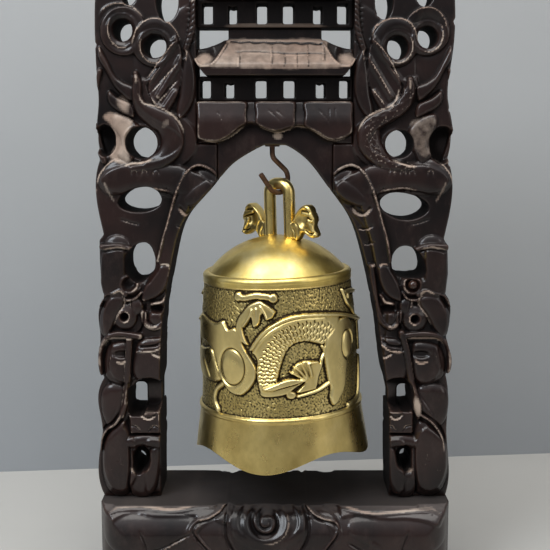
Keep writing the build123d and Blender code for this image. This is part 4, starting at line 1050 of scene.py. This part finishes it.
def bell_body():
    """The lathed wall with its lobed lip, and the relief between the rim and the band."""
    theta = np.linspace(-math.pi, math.pi, COLUMNS, endpoint=False)
    profile = smooth(WALL_PROFILE, steps=12)
    levels = np.linspace(profile[0, 0], profile[-1, 0], ROWS)

    def wall(level):
        return np.interp(level, levels, np.interp(levels, profile[:, 0], profile[:, 1]))

    relief = Relief(theta * RELIEF_RADIUS, levels, square=4.0)
    draw_bell(relief)
    # the back carries the same dragon, half a turn round, and the two casts meet at the sides
    back = np.clip((np.abs(theta) - 1.52) / 0.10, 0, 1)[:, None]
    h = relief.h * (1 - back) + np.roll(relief.h, COLUMNS // 2, axis=0) * back
    # plain rim above, raised band and smooth skirt below
    inside = (np.clip((levels - RIM_LEVEL) / 0.8, 0, 1) * np.clip((RELIEF_FOOT - levels) / 1.2, 0, 1))[None, :]
    rng = np.random.default_rng(7)
    stipple = np.zeros_like(h)
    for _ in range(2):
        stipple += blurred(rng.standard_normal(h.shape).astype(np.float32), 1)
    ground = np.clip(h / RELIEF_GROUND, 0, 1)
    h = h * inside + stipple * 0.27 * ground * inside
    h = h + 1.35 * np.sqrt(np.clip(1 - ((levels - BAND_LEVEL) / 2.2) ** 2, 0, 1))[None, :]
    # the lip's four hollows; rows are even on the relief and close up towards the lobed edge
    lobe = np.abs(np.mod((theta - math.pi * 1.5 - LOBE_TURN) / (math.pi / 2) + 0.5, 1) - 0.5) * 2
    hollow = LOBE_DEPTH * (0.5 - 0.5 * np.cos(math.pi * lobe))
    fit = np.clip((levels - SKIRT_LEVEL) / (levels[-1] - SKIRT_LEVEL), 0, 1)
    row_level = levels[None, :] - hollow[:, None] * fit[None, :] ** 1.5
    row_radius = wall(row_level) + np.where(row_level > SKIRT_LEVEL + 4, 0, h)

    def rows(radius, level):
        return np.stack([radius * np.sin(theta)[:, None], -radius * np.cos(theta)[:, None], -level], -1)

    inner_level = row_level[:, ::-10]
    sheet = np.concatenate([
        rows(row_radius, row_level), rows(row_radius[:, -1:] - 1.0, row_level[:, -1:]),
        rows(wall(inner_level) - BODY_WALL, inner_level)], axis=1)
    count = sheet.shape[1]
    i = np.arange(COLUMNS)[:, None] * count
    j = np.arange(count)[None, :]
    beside = np.roll(i, -1, axis=0)
    below = (j + 1) % count
    quads = np.stack([i + j, i + below, beside + below, beside + j], -1).reshape(-1, 4)
    mesh = quad_mesh("cast_bell_body", hung(sheet.reshape(-1, 3)), quads)
    # what stands out is bright, and the ground is dark with patina; beside what stands out it is darkest, as painted
    # shade
    step_up = h - blurred(h, 9)
    raised = np.clip((h + 0.1) * 0.22, -0.5, 0.45) + np.where(step_up < 0, step_up * 1.7, step_up * 0.8)
    edge = np.zeros((COLUMNS, count), np.float32)
    edge[:, :ROWS] = np.where(inside > 0.5, raised, 0.1)
    add_values(mesh, "edge", edge.ravel())
    add_object("cast_bell_body", mesh, brass, "bell", ["bell_body"])


bell_body()

# ------------------------------------------------------------------ the loop with its two dragon heads
LOOP_TURN = math.radians(-38.0)
WIRE_REACH = 16.5  # how far from the loop's middle its plain wire goes, mm


def draw_heads(relief):
    """Ridged crests round hollow cheeks, eyes, brow rolls and cleft snouts; across and up from the resting point."""
    for sign in (-1, 1):
        r = Moved(relief, lambda u, z, side=sign: (side * u, z))
        r.band([(18, -27), (21.5, -21), (26.5, -16), (31.5, -14), (35.5, -16), (37.8, -21), (39.3, -26)], 4.2, 1.3,
               (0.8, 0.9))
        r.pit((29, -26), (5.2, 6.4), 2.9)
        r.band([(29, -20), (34, -21), (39, -23)], 3.4, 1.3)
        r.cut([(27, -17.8), (33, -18), (38, -19.4)], 1.2, 1.2)
        r.cut([(30, -23), (35, -24), (40, -26)], 1.2, 1.4)
        r.boss((35, -27.5), (2.6, 2.6), 1.4)
        r.ring((35, -27.5), (2.9, 2.9), 1.0, 0.5)
        r.band([(36, -30), (38.5, -34), (40.5, -38.5)], 5.4, 1.2, (0.9, 0.7))
        r.cut([(41.5, -37), (36, -37.4), (31, -35)], 1.3, 1.8)
        r.cut([(20, -28), (23, -33), (24, -40)], 1.3, 1.3)
        for u in (13, 16.5):
            r.cut([(u, -33), (u + 3, -38), (u + 3.5, -43)], 1.0, 0.8)


def keep_wire(joined, field, x, y, z):
    """The loop's round wire stays as it is; only the heads beyond it are modelled."""
    share = np.clip((np.abs(x) - WIRE_REACH + 1.5) / 3.0, 0, 1)[:, None, None]
    return field * (1 - share) + joined * share


bell_x = np.array([math.cos(TILT), 0, math.sin(TILT)])
bell_z = np.array([-math.sin(TILT), 0, math.cos(TILT)])
bell_y = np.array([0, 1, 0])
loop_axes = np.stack([math.cos(LOOP_TURN) * bell_x + math.sin(LOOP_TURN) * bell_y,
                      math.cos(LOOP_TURN) * bell_y - math.sin(LOOP_TURN) * bell_x, bell_z])
carve("cast_crown_loop", "crown_loop", draw_heads, brass, rounding=2.4, soften=1, limit=6.0, finish=keep_wire,
      step=0.45, body="bell", soft_limit=0.3, frame_axes=(loop_axes, REST))

# ------------------------------------------------------------------ CAD pieces that keep their shape
looks = {
    "roof_finial": wood, "bell_dome": polished_brass, "crown_washers": polished_brass,
    "hanging_hook": iron, "hook_washer": iron,
    "right_eye_bead": plain_material("eye_bead_look", (0.035, 0.014, 0.009), 0.12),
    "base_screws": plain_material("screw_steel_look", (0.5, 0.5, 0.5), 0.35, 1.0),
    "arch_dowels": plain_material("dowel_wood_look", (0.36, 0.24, 0.14), 0.6),
}
looks["pagoda_pins"] = looks["arch_dowels"]
for name, look in looks.items():
    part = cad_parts[name]
    part.data.materials.clear()
    part.data.materials.append(look)

# ------------------------------------------------------------------ floor, wall, light and camera
def stage_material(name, axis, *stops):
    """A plain surface whose shade tone changes slowly along one axis, as painted shade."""
    look = new_shader(name)
    start, end = stops[0][0], stops[-1][0]
    shade_tone = look.node("ShaderNodeMapRange", 0, {0: look.place("Object", axis), 1: start, 2: end})
    colour = look.ramp(shade_tone, *[((at - start) / (end - start), tint) for at, tint in stops])
    cloud = look.ramp(look.noise(3.0, 6), (0.35, (0.95, 0.95, 0.95)), (0.65, WHITE))
    return look.surface({"Base Color": look.mix(1.0, colour, cloud, "MULTIPLY"), "Roughness": 0.7})


def sheet(name, corners, material):
    mesh = bpy.data.meshes.new(name)
    mesh.from_pydata(corners, [], [range(len(corners))])
    made = bpy.data.objects.new(name, mesh)
    mesh.materials.append(material)
    bpy.context.scene.collection.objects.link(made)


# painted shade: the floor darkens towards the front and the wall towards its foot
floor_look = stage_material("floor_look", "Y", (-1.2, (0.24, 0.235, 0.22)), (-0.15, (0.41, 0.40, 0.375)),
                            (0.4, (0.43, 0.42, 0.395)))
wall_look = stage_material("wall_look", "Z", (0.0, (0.29, 0.305, 0.32)), (0.35, (0.37, 0.38, 0.385)),
                           (0.8, (0.40, 0.405, 0.405)))
WALL_FOOT = (0.008, 0.578)  # where the wall stands at its left and right ends, m
FLOOR_END = 0.7
ROOM = 3
left, right = WALL_FOOT
sheet("floor", [(-ROOM, -ROOM, 0), (ROOM, -ROOM, 0), (ROOM, FLOOR_END, 0), (-ROOM, FLOOR_END, 0)], floor_look)
sheet("wall", [(-ROOM, left, 0), (ROOM, right, 0), (ROOM, right, ROOM), (-ROOM, left, ROOM)], wall_look)


def area(name, place, target, size, power, colour):
    light = bpy.data.lights.new(name, "AREA")
    light.shape = "RECTANGLE"
    light.size, light.size_y = size
    light.energy = power
    light.color = colour
    made = bpy.data.objects.new(name, light)
    made.location = place
    made.rotation_euler = (Vector(target) - Vector(place)).to_track_quat("-Z", "Y").to_euler()
    bpy.context.scene.collection.objects.link(made)


area("window", (-1.2, -1.3, 1.6), (0, 0, 0.35), (0.9, 0.8), 24, (0.88, 0.94, 1.0))
area("ceiling", (-0.1, -0.55, 1.9), (0, 0, 0.3), (1.5, 1.1), 24, (1.0, 0.98, 0.94))
area("side", (1.6, -1.2, 0.9), (0, 0, 0.25), (0.5, 1.2), 4, (1.0, 0.96, 0.9))

world = bpy.data.worlds.new("room")
bpy.context.scene.world = world
sky = Shader(world)
background = sky.tree.nodes["Background"]
put(background.inputs["Color"], sky.ramp(sky.place("Generated", "Z"), (0.0, (0.15, 0.15, 0.16)),
                                         (0.3, (0.32, 0.33, 0.35)), (0.7, (0.80, 0.83, 0.88))))
background.inputs["Strength"].default_value = 1.0

bpy.context.scene.view_settings.view_transform = "Standard"
lens = bpy.data.cameras.new("camera")
lens.lens = 60.87
lens.sensor_width = 36.0
lens.shift_y = -0.068
camera = bpy.data.objects.new("camera", lens)
camera.location = (0, -0.841, 0.4172)
camera.rotation_euler = (math.radians(90 - 6.6), 0, 0)
bpy.context.scene.collection.objects.link(camera)
bpy.context.scene.camera = camera
